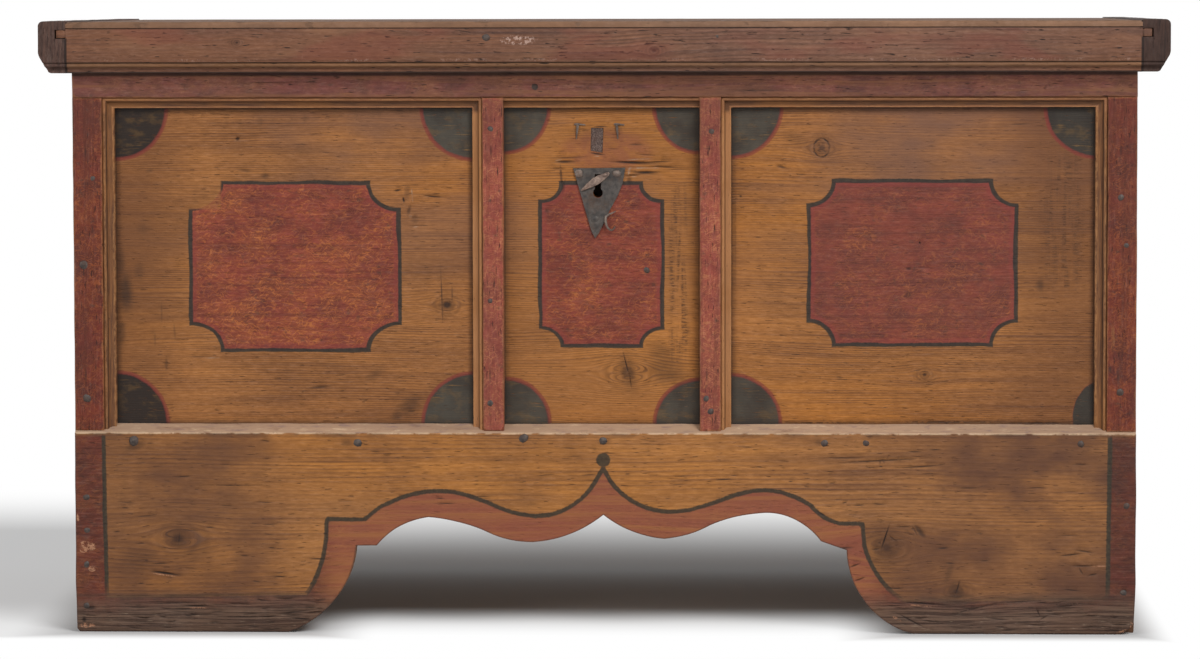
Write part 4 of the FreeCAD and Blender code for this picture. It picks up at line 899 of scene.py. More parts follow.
# %% The front boards
SEAM, SEAM_GAP = 359.8 * MM, 0.02 * MM
for name, heights, marks, holes, seed in (
    ("lower", (WALL_FOOT_Z, SEAM - SEAM_GAP), [k for k in PANEL_MARKS if k.v < 0.36], (), 8.0),
    ("upper", (SEAM + SEAM_GAP, RIM_Z), [k for k in PANEL_MARKS if k.v >= 0.36], [keyhole(), SLOT], 3.0),
):
    board = plank(f"panel_board_{name}", tailed(*heights), on_front(PANEL_Y), INSIDE_FRONT_Y - PANEL_Y,
                  rub=0.25, gap=8.0, uneven=0.30, stray=0.0, holes=holes, marks=marks, seed=seed)
    dress(board, "carcass", panel_pine, "panel_wood", f"front_board_{name}")
print("upper front board:", len(board.data.polygons), "faces")

# %% [markdown]
# ## The red frame
# A rail, two stiles and two muntins are nailed over the boards. Hands and dusters have rubbed their arrises
# down to the pine, so the distance to the edge, stored on every point, thins the paint there.


# %% The frame's material
def frame_finish(name, axes, seed, light, deep, worn, shade, dabbed=1.0):
    """Red paint along one direction of grain, worn away near the edge. Colours are given from 0 to 255."""
    material, t = new_finish("frame_red_" + name)
    light, deep, worn = rgb(*light), rgb(*deep), rgb(*worn)
    m = pine(t, axes, (), seed, 300.0)
    x, z = m.place.part("X") * 1000.0, m.place.part("Z") * 1000.0
    colour, bare = red_paint(t, m, x, z, 0.16, deep, light, worn, dabbed)
    colour.coat((m.streak.step(0.46, 0.66) * (1.1 - dabbed)).clamp() * 0.7, worn)
    edge = t.attribute("edge") * 1000.0
    chips = t.cloud(m.place, 90.0, 4.0, 0.65)
    rubbed = (edge + (chips - 0.5) * 6.0).step(2.0, 0.3)
    wood = wood_colour(t, m, rgb(158, 104, 64), rgb(92, 56, 38))
    colour.coat(rubbed * 0.7, wood)
    lost = t.field(m.along * 16.0, m.across * 60.0, seed, 5.0, 0.65).step(0.62, 0.72)
    colour.coat(lost * 0.55, wood)
    colour.coat(m.pores * 0.6 + t.attribute("stain").clamp(), SOOT_AND_SHADE)
    grime = t.field(m.along * 7.0, m.across * 20.0, seed + 3, 4.0, 0.6).step(0.38, 0.72)
    colour.coat((grime * shade + z.step(530.0, 612.0) * z.step(620.0, 618.0) * 0.3).clamp(), 66, 42, 38)
    # Painted light: the top band of the rail, just under the lid, is made lighter, so that the lid's shadow on
    # it stays narrow.
    colour = t.mix(1.0, colour, z.step(624.0, 643.0) * 0.8 + 1.0, "MULTIPLY")
    # Painted shadow: a dark line along the rail right under the lid's strip.
    colour.coat(z.step(645.5, 648.5) * 0.8, SOOT_AND_SHADE)
    height = m.fibre * 0.5 + m.streak * 0.35 - m.pores - lost * 0.4 - rubbed * 0.2 + bare * 0.1
    finished(t, colour, 0.52 + m.fibre * 0.14, height, 0.4, coat=0.03)
    return material


upright_red = frame_finish("upright", "ZXY", 5.0, (144, 68, 55), (116, 53, 46), (168, 102, 70), 0.2)
stile_red = frame_finish("stile", "ZXY", 11.0, (108, 43, 30), (78, 33, 26), (134, 70, 38), 0.35)
rail_red = frame_finish("rail", "XZY", 8.0, (112, 64, 57), (84, 51, 46), (142, 94, 64), 0.35, 0.3)
print("red paint:", upright_red.name, stile_red.name, rail_red.name)

# %% Rail, stiles and muntins
strip = PANEL_Y - STRIP_Y
strip_foot = 235.3 * MM
rail_marks = marks_of((-77.4, 633, 5, 3, 0, 0.5), (180, 630, 30, 0.8, 0, 0.6, 0.4),
                      (-380, 640, 40, 0.7, 1, 0.5, 0.3))
rail = plank("frame_rail", rectangle(-HALF, HALF, RAIL_Z, RIM_Z), on_front(STRIP_Y), strip, rub=2.0, gap=9.0,
             uneven=0.3, stray=0.25, marks=rail_marks, seed=12.0, rows=2)
dress(rail, "carcass", rail_red, "red_paint", "top_rail")
for node, sides, seed, material in (
    ("stile_left", (-HALF, -STILE_X), 21.0, stile_red), ("stile_right", (STILE_X, HALF), 22.0, stile_red),
    ("muntin_left", MUNTIN_X["left"], 23.0, upright_red),
    ("muntin_right", MUNTIN_X["right"], 24.0, upright_red),
):
    middle = 500.0 * sum(sides)
    marks = marks_of(*((middle + dx, z, 1.2, tall, 0, 0.55, 0.4)
                       for dx, z, tall in ((-4, 300, 8), (5, 470, 5), (-2, 560, 7))))
    outline = rectangle(*sides, strip_foot, RAIL_Z - 0.15 * MM)
    piece = plank(f"frame_{node}", outline, on_front(STRIP_Y), strip, rub=1.7, gap=7.0, uneven=0.3,
                  stray=0.35, marks=marks, seed=seed, rows=2)
    dress(piece, "carcass", material, "red_paint", node)
print("last muntin:", len(piece.data.polygons), "faces")

# %% [markdown]
# ## Mouldings
# A joiner planes a moulding with one shaped iron, so its section is the same all along: a section swept along
# a line says exactly that. The node tree takes the section as a mesh, sweeps it, cuts the mitres by sliding
# the end points along the length, and lets the arrises wander as hand work does.


# %% The start and the end of a Geometry Nodes tree
def new_tree(name, result, sockets):
    """A tree with named inputs, each given as its kind or as a number; returns its helper and its wires."""
    tree = bpy.data.node_groups.new(name, "GeometryNodeTree")
    for key, given in sockets.items():
        kind = given if isinstance(given, str) else type(given).__name__.title()
        made = tree.interface.new_socket(key, in_out="INPUT", socket_type="NodeSocket" + kind)
        if kind != given:
            made.default_value = given
    tree.interface.new_socket(result, in_out="OUTPUT", socket_type="NodeSocketGeometry")
    t = Tree(tree)
    return t, {s.name: Wire(t, s) for s in tree.nodes.new("NodeGroupInput").outputs if s.name}


def end_tree(t, geometry, finish):
    """The last nodes: instances become a real mesh with one material."""
    whole = t.node("GeometryNodeRealizeInstances", {}, [geometry])
    painted = t.node("GeometryNodeSetMaterial", {}, {"Geometry": whole, "Material": finish})
    t.tree.links.new(painted.socket, t.tree.nodes.new("NodeGroupOutput").inputs[0])
    return t.tree


# %% A tree that sweeps a section
def moulding_tree():
    t, given = new_tree("swept_moulding", "Moulding", {
        "Section": "Geometry", "Length": 1.0, "Spacing": 0.006, "Mitre Start": 0.0, "Mitre End": 0.0,
        "Unevenness": 0.0002, "Seed": 1.0, "Finish": "Material"})
    end = t.xyz(0.0, 0.0, given["Length"])
    line = t.node("GeometryNodeCurvePrimitiveLine", {}, {"Start": (0.0, 0.0, 0.0), "End": end})
    path = t.node("GeometryNodeResampleCurve", {"mode": "LENGTH"},
                  {"Curve": line, "Length": given["Spacing"]})
    section = t.node("GeometryNodeMeshToCurve", {}, [given["Section"]])
    swept = t.node("GeometryNodeCurveToMesh", {},
                   {"Curve": path, "Profile Curve": section, "Fill Caps": True})
    at = t.node("GeometryNodeInputPosition")
    across, height, along = (at.part(axis) for axis in "XYZ")
    swept = t.node("GeometryNodeStoreNamedAttribute", {"data_type": "FLOAT", "domain": "POINT"},
                   {"Geometry": swept, "Name": "across", "Value": across})
    share = along / given["Length"]
    slide = across * (given["Mitre Start"] * (1 - share) - given["Mitre End"] * share)
    where = t.xyz(across * 60.0, height * 60.0, along * 28.0 + given["Seed"])
    rough = t.node("ShaderNodeTexNoise", {}, {"Vector": where, "Scale": 1.0, "Detail": 3.0}, output=1)
    push = t.node("ShaderNodeVectorMath", {"operation": "SUBTRACT"}, [rough, (0.5, 0.5, 0.5)])
    push = t.node("ShaderNodeVectorMath", {"operation": "SCALE"},
                  {0: push, "Scale": given["Unevenness"] * 4.0})
    proud = height.step(0.001, 0.004)
    offset = t.xyz(push.part("X") * proud, push.part("Y") * proud, slide)
    moved = t.node("GeometryNodeSetPosition", {}, {"Geometry": swept, "Offset": offset})
    return end_tree(t, moved, given["Finish"])


def grown(name, base, tree, **values):
    """Runs a node tree on a base mesh and returns the result as a plain mesh."""
    host = add(name + "_base", base)
    modifier = host.modifiers.new("nodes", "NODES")
    modifier.node_group = tree
    ports = {item.name: item.identifier for item in tree.interface.items_tree if item.in_out == "INPUT"}
    for key, value in values.items():
        modifier[ports[key.replace("_", " ").title()]] = value
    graph = bpy.context.evaluated_depsgraph_get()
    mesh = bpy.data.meshes.new_from_object(host.evaluated_get(graph), preserve_all_data_layers=True,
                                           depsgraph=graph)
    mesh.name = name
    bpy.data.objects.remove(host)
    return mesh


swept_moulding = moulding_tree()
print("swept moulding:", len(swept_moulding.nodes), "nodes")


# %% The section of a moulding
def section_mesh(points):
    """A closed section as a mesh of edges, in metres."""
    mesh = bpy.data.meshes.new("section")
    count = len(points)
    mesh.from_pydata([(x, y, 0.0) for x, y in points], [(i, (i + 1) % count) for i in range(count)], [])
    return mesh


def moulding_section(width):
    """Bead, hollow and fillet: distance from the strip, and height off the boards."""
    w, crest, thin = width / MM, 13.0, 7.0
    bead_end, hollow_end = 0.36 * w, w - 2.4
    bead = arc((0, crest - 0.8), (0.5 * bead_end, crest), (bead_end, 11.2), 6)
    hollow = arc((bead_end, 11.2), (0.5 * (bead_end + hollow_end) - 0.6, 7.7), (hollow_end, thin), 7)
    quirk = [(bead_end - 0.05, 10.5)]
    fillet = [(w - 0.4, thin), (w - 0.1, thin - 0.3), (w, thin - 0.8), (w, thin - 2.5), (w, 0)]
    return scaled([(0, 0), (0, 6.0), (0, 9.0)] + bead + quirk + hollow[1:] + fillet)


print("a section is", len(moulding_section(STILE_WIDTH)), "points")


# %% The moulding's material
def moulding_finish():
    material, t = new_finish("moulding_brown")
    m = pine(t, "ZXY", (), 14.0, 300.0)
    x, z, across = m.across, m.along, t.attribute("across") * 1000.0
    where = t.xyz((x + z) * 22.0, across * 0.55, (x - z) * 22.0)
    streak = t.cloud(where, 1.0, 4.0, 0.6)
    colour = t.mix(streak.step(0.30, 0.70), rgb(130, 86, 52), rgb(84, 54, 37))
    top, ridge = z.step(0.602, 0.608), across.step(5.6, 4.4).max(across.step(9.6, 10.6))
    # Painted light on the top mouldings: their bead and fillet lighter, as if lit, and their hollow darker, as
    # if shaded.
    colour.coat(top * ridge * 0.6, 152, 102, 70)
    colour.coat(top * (1 - ridge) * 0.3, 66, 40, 27)
    colour.coat(x.abs().step(0.20, 0.16) * (1 - top) * 0.55, 192, 134, 86)
    colour.coat(t.cloud(m.place, 14.0, 3.0).step(0.45, 0.7) * 0.5, 142, 92, 48)
    chips = t.field(x * 130.0, across * 0.4, z * 130.0, 4.0, 0.65)
    # Pale in patches on the bead's crest and the fillet's lip: wear to bare wood, and a painted highlight on
    # these rounded edges.
    crest = (across - 2.3).abs().step(1.9, 0.3) * chips.step(0.40, 0.62)
    lip_wear_and_highlight = across.step(10.3, 11.2) * chips.step(0.42, 0.6)
    colour.coat(crest.max(lip_wear_and_highlight) * 0.34, 184, 136, 88)
    # Painted shade: a dark line in the quirk, and along the moulding's edge against the strip, less on the top
    # mouldings.
    quirk = (across - 4.8).abs().step(1.0, 0.2) * 0.6
    colour.coat(quirk.max(across.step(0.7, 0.1) * (1 - top * 0.7)), SOOT_AND_SHADE)
    specks = t.field(x * 210.0, across * 0.8, z * 210.0, 3.0).step(0.66, 0.74)
    colour.coat(specks * 0.6, SOOT_AND_SHADE)
    finished(t, colour, 0.55, streak * 0.6 + chips * 0.4 - specks, 0.3, coat=0.04)
    return material


moulding_brown = moulding_finish()
print("moulding material:", len(moulding_brown.node_tree.nodes), "nodes")

# %% Seven lengths of moulding
UPRIGHT_FOOT = 236.6 * MM


def moulding(node, start, run, across, length, width, mitre_start=0.0, mitre_end=0.0, seed=1.0):
    """One length: its section stands off the boards, its bead is against the strip."""
    base = section_mesh(moulding_section(width))
    mesh = grown(node, base, swept_moulding, length=length, spacing=0.005, mitre_start=mitre_start,
                 mitre_end=mitre_end, unevenness=0.00016, seed=seed, finish=moulding_brown)
    run, across, out = Vector(run), Vector(across), Vector((0, -1, 0))
    place = Matrix.Identity(4)
    for column, axis in enumerate((across, out, run, Vector(start))):
        place.col[column][:3] = axis
    mesh.transform(place)
    if across.cross(out).dot(run) < 0:
        mesh.flip_normals()
    piece = as_object(node.replace("moulding", "planed"), mesh)
    dress(piece, "carcass", moulding_brown, "moulding_wood", node)


edges = {"left": (-STILE_X, MUNTIN_X["left"][0]), "right": (MUNTIN_X["right"][1], STILE_X)}
for side, (x0, x1) in edges.items():
    widths = (STILE_WIDTH, MUNTIN_WIDTH) if side == "left" else (MUNTIN_WIDTH, STILE_WIDTH)
    kinds = ("stile", "muntin") if side == "left" else ("muntin", "stile")
    slopes = [w / TOP_WIDTH for w in widths]
    moulding(f"moulding_top_{side}", (x0, PANEL_Y, RAIL_Z), (1, 0, 0), (0, 0, -1), x1 - x0, TOP_WIDTH,
             slopes[0], slopes[1], 3.0 + x0)
    for x, sign, width, kind in zip((x0, x1), (1, -1), widths, kinds):
        moulding(f"moulding_{kind}_{side}", (x, PANEL_Y, UPRIGHT_FOOT), (0, 0, 1), (sign, 0, 0),
                 RAIL_Z - UPRIGHT_FOOT, width, 0.0, TOP_WIDTH / width, 5.0 + x)
moulding("moulding_top_centre", (MUNTIN_X["left"][1], PANEL_Y, RAIL_Z), (1, 0, 0), (0, 0, -1),
         MUNTIN_X["right"][0] - MUNTIN_X["left"][1], TOP_WIDTH, seed=9.0)
print("mouldings from", len(swept_moulding.nodes), "nodes each")

# %% [markdown]
# ## The plinth
# One thick board, bevelled on top so that its upper edge catches the light, and sawn below into lobes and
# feet. A dark green line follows the sawn edge at a hand's breadth, red outside it and bare pine within. The
# distance to that line can't be written as a formula, so `plank` measures it and stores it on the points.

# %% The sawn edge
SCALLOP = {
    "left": {"cusp": (0.0, 138.0), "lobe": (-36.0, 117.0), "trough": (-82.0, 106.0), "turn": (-134.0, 117.5),
             "crown": (-203.0, 135.2), "haunch": (-237.0, 124.0), "step": (-263.0, 102.0),
             "corner": (-287.5, 101.5), "instep": (-306.0, 48.0), "toe": (-368.0, 0.0)},
    "right": {"cusp": (0.0, 138.0), "lobe": (30.0, 120.5), "trough": (71.0, 110.5), "turn": (124.0, 126.5),
              "crown": (187.0, 141.0), "haunch": (227.0, 130.5), "step": (252.0, 108.0),
              "corner": (282.0, 98.0), "instep": (299.0, 43.0), "toe": (360.0, 0.0)},
}


def scallop(p):
    """One half of the sawn edge, from the cusp to the toe, in millimetres."""
    middle = ((p["trough"][0] + p["turn"][0]) / 2, (p["trough"][1] + p["turn"][1]) / 2 - 3.0)
    rise = ((p["turn"][0] + p["crown"][0]) / 2, (p["turn"][1] + p["crown"][1]) / 2 + 3.2)
    edge = arc(p["cusp"], p["lobe"], p["trough"], 14) + arc(p["trough"], middle, p["turn"], 8)[1:]
    edge += arc(p["turn"], rise, p["crown"], 10)[1:] + arc(p["crown"], p["haunch"], p["step"], 14)[1:]
    return edge + arc(p["corner"], p["instep"], p["toe"], 24)


SILL_TOP = SILL_BACK_Z - 0.6 * MM
plinth_outline = [(-HALF + 4 * MM, 0.0), (-HALF + 1 * MM, 0.004), (-HALF, 0.06)]
plinth_outline += [(-HALF, SILL_TOP), (HALF, SILL_TOP)]
plinth_outline += scaled([(615, 60), (613.5, 17), (611.5, 10), (606, 5.5), (601, 2), (594, 0)])
plinth_outline += scaled(scallop(SCALLOP["right"])[::-1]) + scaled(scallop(SCALLOP["left"])[1:])
print("plinth outline:", len(plinth_outline), "points")

# %% The green line, a few round strokes a side
GREEN_LEFT = (
    [(0, 193)] + arc((-10, 176), (-33, 151), (-64, 138), 8) + arc((-79, 137), (-105, 141), (-131, 151), 6)
    + arc((-149, 158), (-201, 165.5), (-242, 155), 8) + arc((-259, 147), (-269, 139), (-277, 132), 4)
    + [(-321, 133)] + arc((-322, 126), (-330, 76), (-346, 44), 10)
)
GREEN_RIGHT = (
    arc((8, 178), (38, 152), (80, 142), 8) + arc((100, 144), (126, 152), (152, 162), 6)
    + arc((165, 165), (200, 166), (228, 157), 6) + arc((240, 150), (256, 136), (274, 128.5), 6)
    + [(300, 128.5)] + arc((302, 104), (318, 68), (349, 38), 10)
)
GREEN_LINE = scaled([(-582, 262), (-579, 40)] + GREEN_LEFT[::-1] + GREEN_RIGHT + [(583, 41), (585, 262)])


def beside(path, offsets):
    """Points along a path and a little to each side of it."""
    made = []
    dense = resampled(path, 6 * MM)
    for (ax, ay), (bx, by) in zip(dense, dense[1:]):
        length = math.dist((ax, ay), (bx, by)) or 1.0
        nx, ny = (ay - by) / length, (bx - ax) / length
        made += [(ax + nx * o * MM, ay + ny * o * MM) for o in offsets]
    return made


print("green line:", len(GREEN_LINE), "points")

# %% The plinth's material
PLINTH_KNOTS = [(-0.495, 0.110, 0.015), (0.328, 0.101, 0.016), (0.408, 0.050, 0.009)]


def plinth_paint(t, m, at):
    """Bare pine, and the same with its red edges, the dark line beside them and the dot at the cusp."""
    x, z = at.x, at.z
    wood = wood_colour(t, m, rgb(174, 118, 66), rgb(96, 61, 40), rgb(182, 119, 54))
    dull = t.field(m.along * 7.0, 5.0, m.across * 12.0, 4.0, 0.6).step(0.36, 0.66)
    sides = x.step(250.0, 420.0).max(x.step(-340.0, -430.0) * 0.75)
    wood.coat((dull * 0.22 + sides * (dull * 0.4 + 0.36)).clamp(), 88, 57, 42)
    trim = t.attribute("trim") * 1000.0 + at.fray * 2.2 + at.sway * 2.0
    red, bare = red_paint(t, m, x, z, 0.10, rgb(68, 34, 29), rgb(98, 43, 33), rgb(128, 70, 40), 0.5)
    red.coat(x.step(560.0, 596.0) * 0.3, 52, 34, 30)
    apron = x.abs().step(350.0, 300.0) * (0.4 + m.streak * 0.7)
    red.coat(apron, t.mix(m.streak.step(0.35, 0.65), rgb(146, 82, 63), rgb(156, 98, 61)))
    band = trim.step(0.6, -0.6) * (1 - z.step(228.0, 232.0))
    colour = t.mix(band * (0.94 - bare * 0.3), wood, red)
    line = (trim.abs() - 2.5 - at.sway * 1.6).step(0.8, -0.8) * (1 - z.step(228.0, 232.0))
    worn_line = t.field(x * 0.05, 2.0, z * 0.05, 4.0).step(0.62, 0.74)
    line = line * (0.92 - worn_line * 0.5) * z.step(30.0, 62.0).max(0.35)
    dot = ((square(x) + square(z - 202.3)).math("SQRT") + at.fray * 2.0).step(9.0, 7.4)
    colour.coat(line.max(dot * 0.9), t.mix(at.fray.step(-0.2, 0.3), rgb(40, 37, 31), rgb(60, 55, 42)))
    return wood, colour


print(len(PLINTH_KNOTS), "knots in the plinth")

# %% The weathered feet
FOOT_DARK, FOOT_GREY = rgb(60, 46, 40), rgb(112, 90, 74)


def weather_feet(t, m, at, colour):
    """Paints the grey feet, and returns where they are, their ridges and their colour."""
    foot = (at.z + (m.patch - 0.5) * 30.0 + at.sway * 14.0).step(58.0, 22.0)
    ridge = t.field(m.along * 9.0, 1.0, m.flow * 420.0, 4.0, 0.62)
    weathered = t.mix(ridge.step(0.30, 0.70), FOOT_DARK, FOOT_GREY)
    weathered.coat(t.cloud(m.place, 9.0, 3.0).step(0.4, 0.7) * 0.4, 94, 68, 50)
    colour.coat(foot * 0.88, weathered)
    tide = (at.z - 43.0 - at.sway * 12.0).abs().step(3.0, 0.6) * t.cloud(m.place, 24.0, 3.0).step(0.38, 0.62)
    colour.coat(tide * 0.4, 48, 36, 30)
    pale = t.field(m.along * 60.0, 4.0, m.flow * 900.0, 3.0).step(0.62, 0.72) * at.z.step(38.0, 12.0)
    colour.coat(pale * 0.75, 168, 146, 124)
    return foot, ridge, weathered


print("grey of the feet as light:", [round(c, 3) for c in FOOT_GREY])

# %% The pale bevel: worn wood, and painted light on it
WORN_AND_LIT_PINE, WORN_AND_LIT_GRAIN = rgb(184, 154, 128), rgb(128, 100, 84)


def bleach_sill(t, m, at, colour):
    """Paints the bevel on top pale, as worn wood and painted light, with a painted highlight on its arris and
    painted shade below it, and returns where it is.
    """
    sill = at.z.step(232.6, 233.6)
    worn_and_lit = t.mix((m.streak - 0.2).clamp(), WORN_AND_LIT_PINE, WORN_AND_LIT_GRAIN)
    grime = t.field(m.along * 16.0, 3.0, m.across * 90.0, 4.0, 0.65).step(0.56, 0.72)
    worn_and_lit.coat(grime * 0.6, 104, 76, 64)
    chalky = t.field(m.along * 34.0, 6.0, m.across * 260.0, 4.0, 0.7)
    worn_and_lit.coat(chalky.step(0.56, 0.70) * 0.6, 216, 190, 158)
    worn_and_lit.coat(chalky.step(0.46, 0.34) * 0.6, 126, 106, 106)
    colour.coat(sill * 0.9, worn_and_lit)
    # Painted highlight: a broken bright line along the bevel's front arris.
    arris_highlight = (at.z - 232.8 - at.fray).abs().step(1.5, 0.3) * t.cloud(m.place, 70.0, 4.0).step(0.36, 0.52)
    colour.coat(arris_highlight * 0.75, 214, 184, 152)
    # Painted shade: darker just below the bevel.
    under_sill_shade = at.z.step(226.0, 231.5) * (1 - sill) * t.cloud(m.place, 30.0, 4.0).step(0.42, 0.66)
    colour.coat(under_sill_shade * 0.5, 74, 50, 38)
    return sill


print("bleached pine as light:", [round(c, 3) for c in WORN_AND_LIT_PINE])


# %% The whole finish of the plinth
def plinth_finish():
    material, t = new_finish("painted_plinth_pine")
    m = pine(t, "XZY", PLINTH_KNOTS, 6.0, 210.0)
    at = SimpleNamespace(x=m.along * 1000.0, z=m.across * 1000.0, sway=t.cloud(m.place, 18.0, 2.0) - 0.5,
                         fray=t.cloud(m.place, 210.0, 3.0, 0.7) - 0.5)
    wood, colour = plinth_paint(t, m, at)
    foot, ridge, weathered = weather_feet(t, m, at, colour)
    sill = bleach_sill(t, m, at, colour)
    rim = (t.attribute("edge") * 1000.0 + at.fray * 2.0).step(2.2, 0.3) * (1 - sill)
    colour.coat(rim * 0.55, 78, 52, 42)
    stain = t.attribute("stain")
    colour.coat(stain.clamp(), SOOT_AND_SHADE)
    colour.coat(stain.step(-0.25, -0.6) * t.cloud(m.place, 300.0, 4.0, 0.7).step(0.44, 0.56), 164, 118, 90)
    back = (m.into * 1000.0).step(1000 * PANEL_Y - 3.0, 1000 * PANEL_Y - 1.5) * (1 - sill)
    colour.coat(back, t.mix(foot * 0.5, wood, weathered))
    height = wood_height(m) - foot * ridge.step(0.5, 0.35) * 1.2
    finished(t, colour, 0.55 + m.fibre * 0.15, height, coat=0.02)
    return material


plinth_pine = plinth_finish()
print("plinth material:", len(plinth_pine.node_tree.nodes), "nodes")

# %% The plinth's marks
dice = random.Random(5)
PLINTH_MARKS = marks_of(
    (-511, 69, 16, 1.5, -8, 1.0, 1.6), (-512, 67.2, 15, 0.7, -8, -0.6), (-495, 110, 10, 11, 0, 0.42, 0.2),
    (-494, 110, 0.8, 9, -6, 0.8, 0.5), (-540, 84, 22, 14, 0, 0.22), (-470, 96, 18, 12, 20, 0.2),
    (328, 101, 18, 20, 0, 0.32), (326, 112, 1.0, 15, -18, 1.0, 1.0), (316, 99, 5, 1.2, 10, 0.7, 0.6),
    (334, 112, 4, 1.0, -40, 0.6, 0.6), (366, 120, 9, 3.2, -50, 0.75, 0.9), (360, 121, 1.0, 6, 30, 0.6, 0.6),
    (408, 50, 9, 10, 0, 0.5, 0.3), (410, 54, 1.0, 8, -16, 0.9, 0.8), (400, 72, 4, 12, -20, 0.35),
    (540, 93, 12, 1.0, 6, 0.8, 0.8), (556, 97, 10, 1.0, -8, 0.7, 0.6), (556, 80, 14, 0.8, 0, 0.8, 0.9),
    (572, 80, 9, 0.6, 0, -0.6), (566, 70, 5, 1.0, 12, 0.7, 0.8), (552, 74, 1.0, 4, 30, 0.6, 0.6),
    (-604, 102, 6, 4, 0, -0.9), (-597, 100, 5, 4, 0, -0.9), (-606, 96, 4, 3, 0, -0.8),
    (-596, 74, 4, 3, 0, -0.8), (-612, 134, 1.5, 4, 0, -0.9), (-604, 8, 6, 3, 0, -0.8, 0.6),
    (322, 202, 44, 1.0, 3, 0.8, 0.7), (278, 205, 22, 0.8, 0, 0.7, 0.6), (366, 195, 24, 0.9, 4, 0.8, 0.6),
    (-430, 172, 40, 0.8, 0, 0.5, 0.3), (250, 223, 5, 4, 0, 0.4), (-545, 217, 12, 5, 20, 0.5, 0.2),
    (-298, 222, 6, 4, 0, 0.4), (0, 223, 8, 4, 0, 0.4), (-500, 34, 24, 0.8, 2, 0.7, 0.8),
    (-474, 31, 14, 0.8, 0, 0.9, 1.0), (-472, 28.5, 12, 0.7, 0, -0.5), (-420, 18, 26, 0.8, 0, 0.7, 0.8),
    (-540, 12, 24, 0.8, -1, 0.6, 0.8), (-360, 24, 18, 0.8, 6, 0.8, 0.8), (370, 36, 22, 0.9, -4, 0.9, 1.0),
    (366, 33.5, 16, 0.7, -4, -0.5), (430, 30, 34, 0.9, 14, 0.7, 0.8), (480, 38, 26, 0.8, 4, 0.6, 0.7),
    (540, 36, 34, 0.8, 0, 0.6, 0.7), (503, 26, 0.9, 5, 20, 0.7, 0.9), (510, 20, 5, 0.8, 30, 0.7, 0.6),
    (600, 3, 10, 2.5, 20, -0.5), (611, 10, 2, 5, 10, -0.5), (-600, 8, 8, 2.5, 0, -0.4, 0.6),
    (-606, 14, 2.5, 4, 0, 0.9, 1.0), (356, 16, 16, 0.9, -28, 0.8, 0.8), (-598, 28, 5, 2.5, 0, 0.8, 0.9),
    (340, 18, 6, 1.5, -30, -0.5), (601, 50, 3.2, 2.2, 20, 1.0, 1.8), (-92, 228, 6, 3, 0, 0.5, 0.5),
    (252, 140, 6, 1.2, -30, 0.7, 0.6), (276, 100, 12, 1.5, 4, 0.8, 0.8), (291, 80, 6, 0.9, 20, 0.8, 0.9),
    (297, 64, 6, 0.9, 20, 0.7, 0.9),
)
for _ in range(150):
    u, v = dice.uniform(-570, 570), dice.uniform(48, 226)
    if v > 150 or abs(u) > 330:
        PLINTH_MARKS.append(Mark(u, v, dice.uniform(2, 11), dice.uniform(0.5, 0.9), dice.uniform(-5, 5),
                                 dice.uniform(0.35, 0.9), dice.uniform(0.1, 0.5)))
for _ in range(70):
    u, v = dice.choice((-1, 1)) * dice.uniform(330, 606), dice.uniform(3, 40)
    reach, turn = dice.uniform(3, 13), dice.uniform(-7, 7)
    PLINTH_MARKS.append(Mark(u, v, reach, 0.7, turn, dice.uniform(0.4, 0.9), dice.uniform(0.4, 1.0)))
print(len(PLINTH_MARKS), "marks on the plinth")


# %% The plinth
def plinth_face(u, v):
    """Depth of the plinth's face: the bevel on top, and ridges where the feet have weathered."""
    bevel = max(0.0, (v - SILL_FRONT_Z) * (PANEL_Y - PLINTH_Y) / (SILL_BACK_Z - SILL_FRONT_Z))
    weather = max(0.0, 1 - v / (48 * MM))
    trodden = max(0.0, 1 - v / (7 * MM)) ** 2 * 3.2 * MM
    return bevel + trodden + weather * 0.9 * MM * (0.5 + noise.noise(Vector((u * 14, v * 330, 2.0))))


sill_rows = [(u, SILL_FRONT_Z + dz * MM) for u in np.arange(-HALF + 0.002, HALF, 5 * MM)
             for dz in (-1.6, -0.7, 0.0, 0.5, 1.2, 3.0, 6.0)]
foot_rows = [p for side in (-1, 1) for p in grid(*sorted((side * 322, side * 611)), 2, 46, 9.0, 1.9)]
extra_points = sill_rows + foot_rows + beside(GREEN_LINE, (-7, -3.5, -1.5, 0, 1.5, 3.5, 7))
plinth_board = plank("plinth_board", plinth_outline, on_front(PLINTH_Y), PANEL_Y - PLINTH_Y, rub=1.3, gap=8.0,
                     uneven=0.35, stray=0.5, rows=3, extra=extra_points, relief=plinth_face, seed=6.0,
                     marks=PLINTH_MARKS, trim=GREEN_LINE)
dress(plinth_board, "carcass", plinth_pine, "plinth_wood", "plinth")
print("plinth:", len(plinth_board.data.polygons), "faces")

# %% [markdown]
# ## Sides and back
# The ends run down to the floor, where a low arch leaves two feet. Nobody painted them: they are stained
# pine, and the ends of the dovetails show at the corners as a row of end grain.


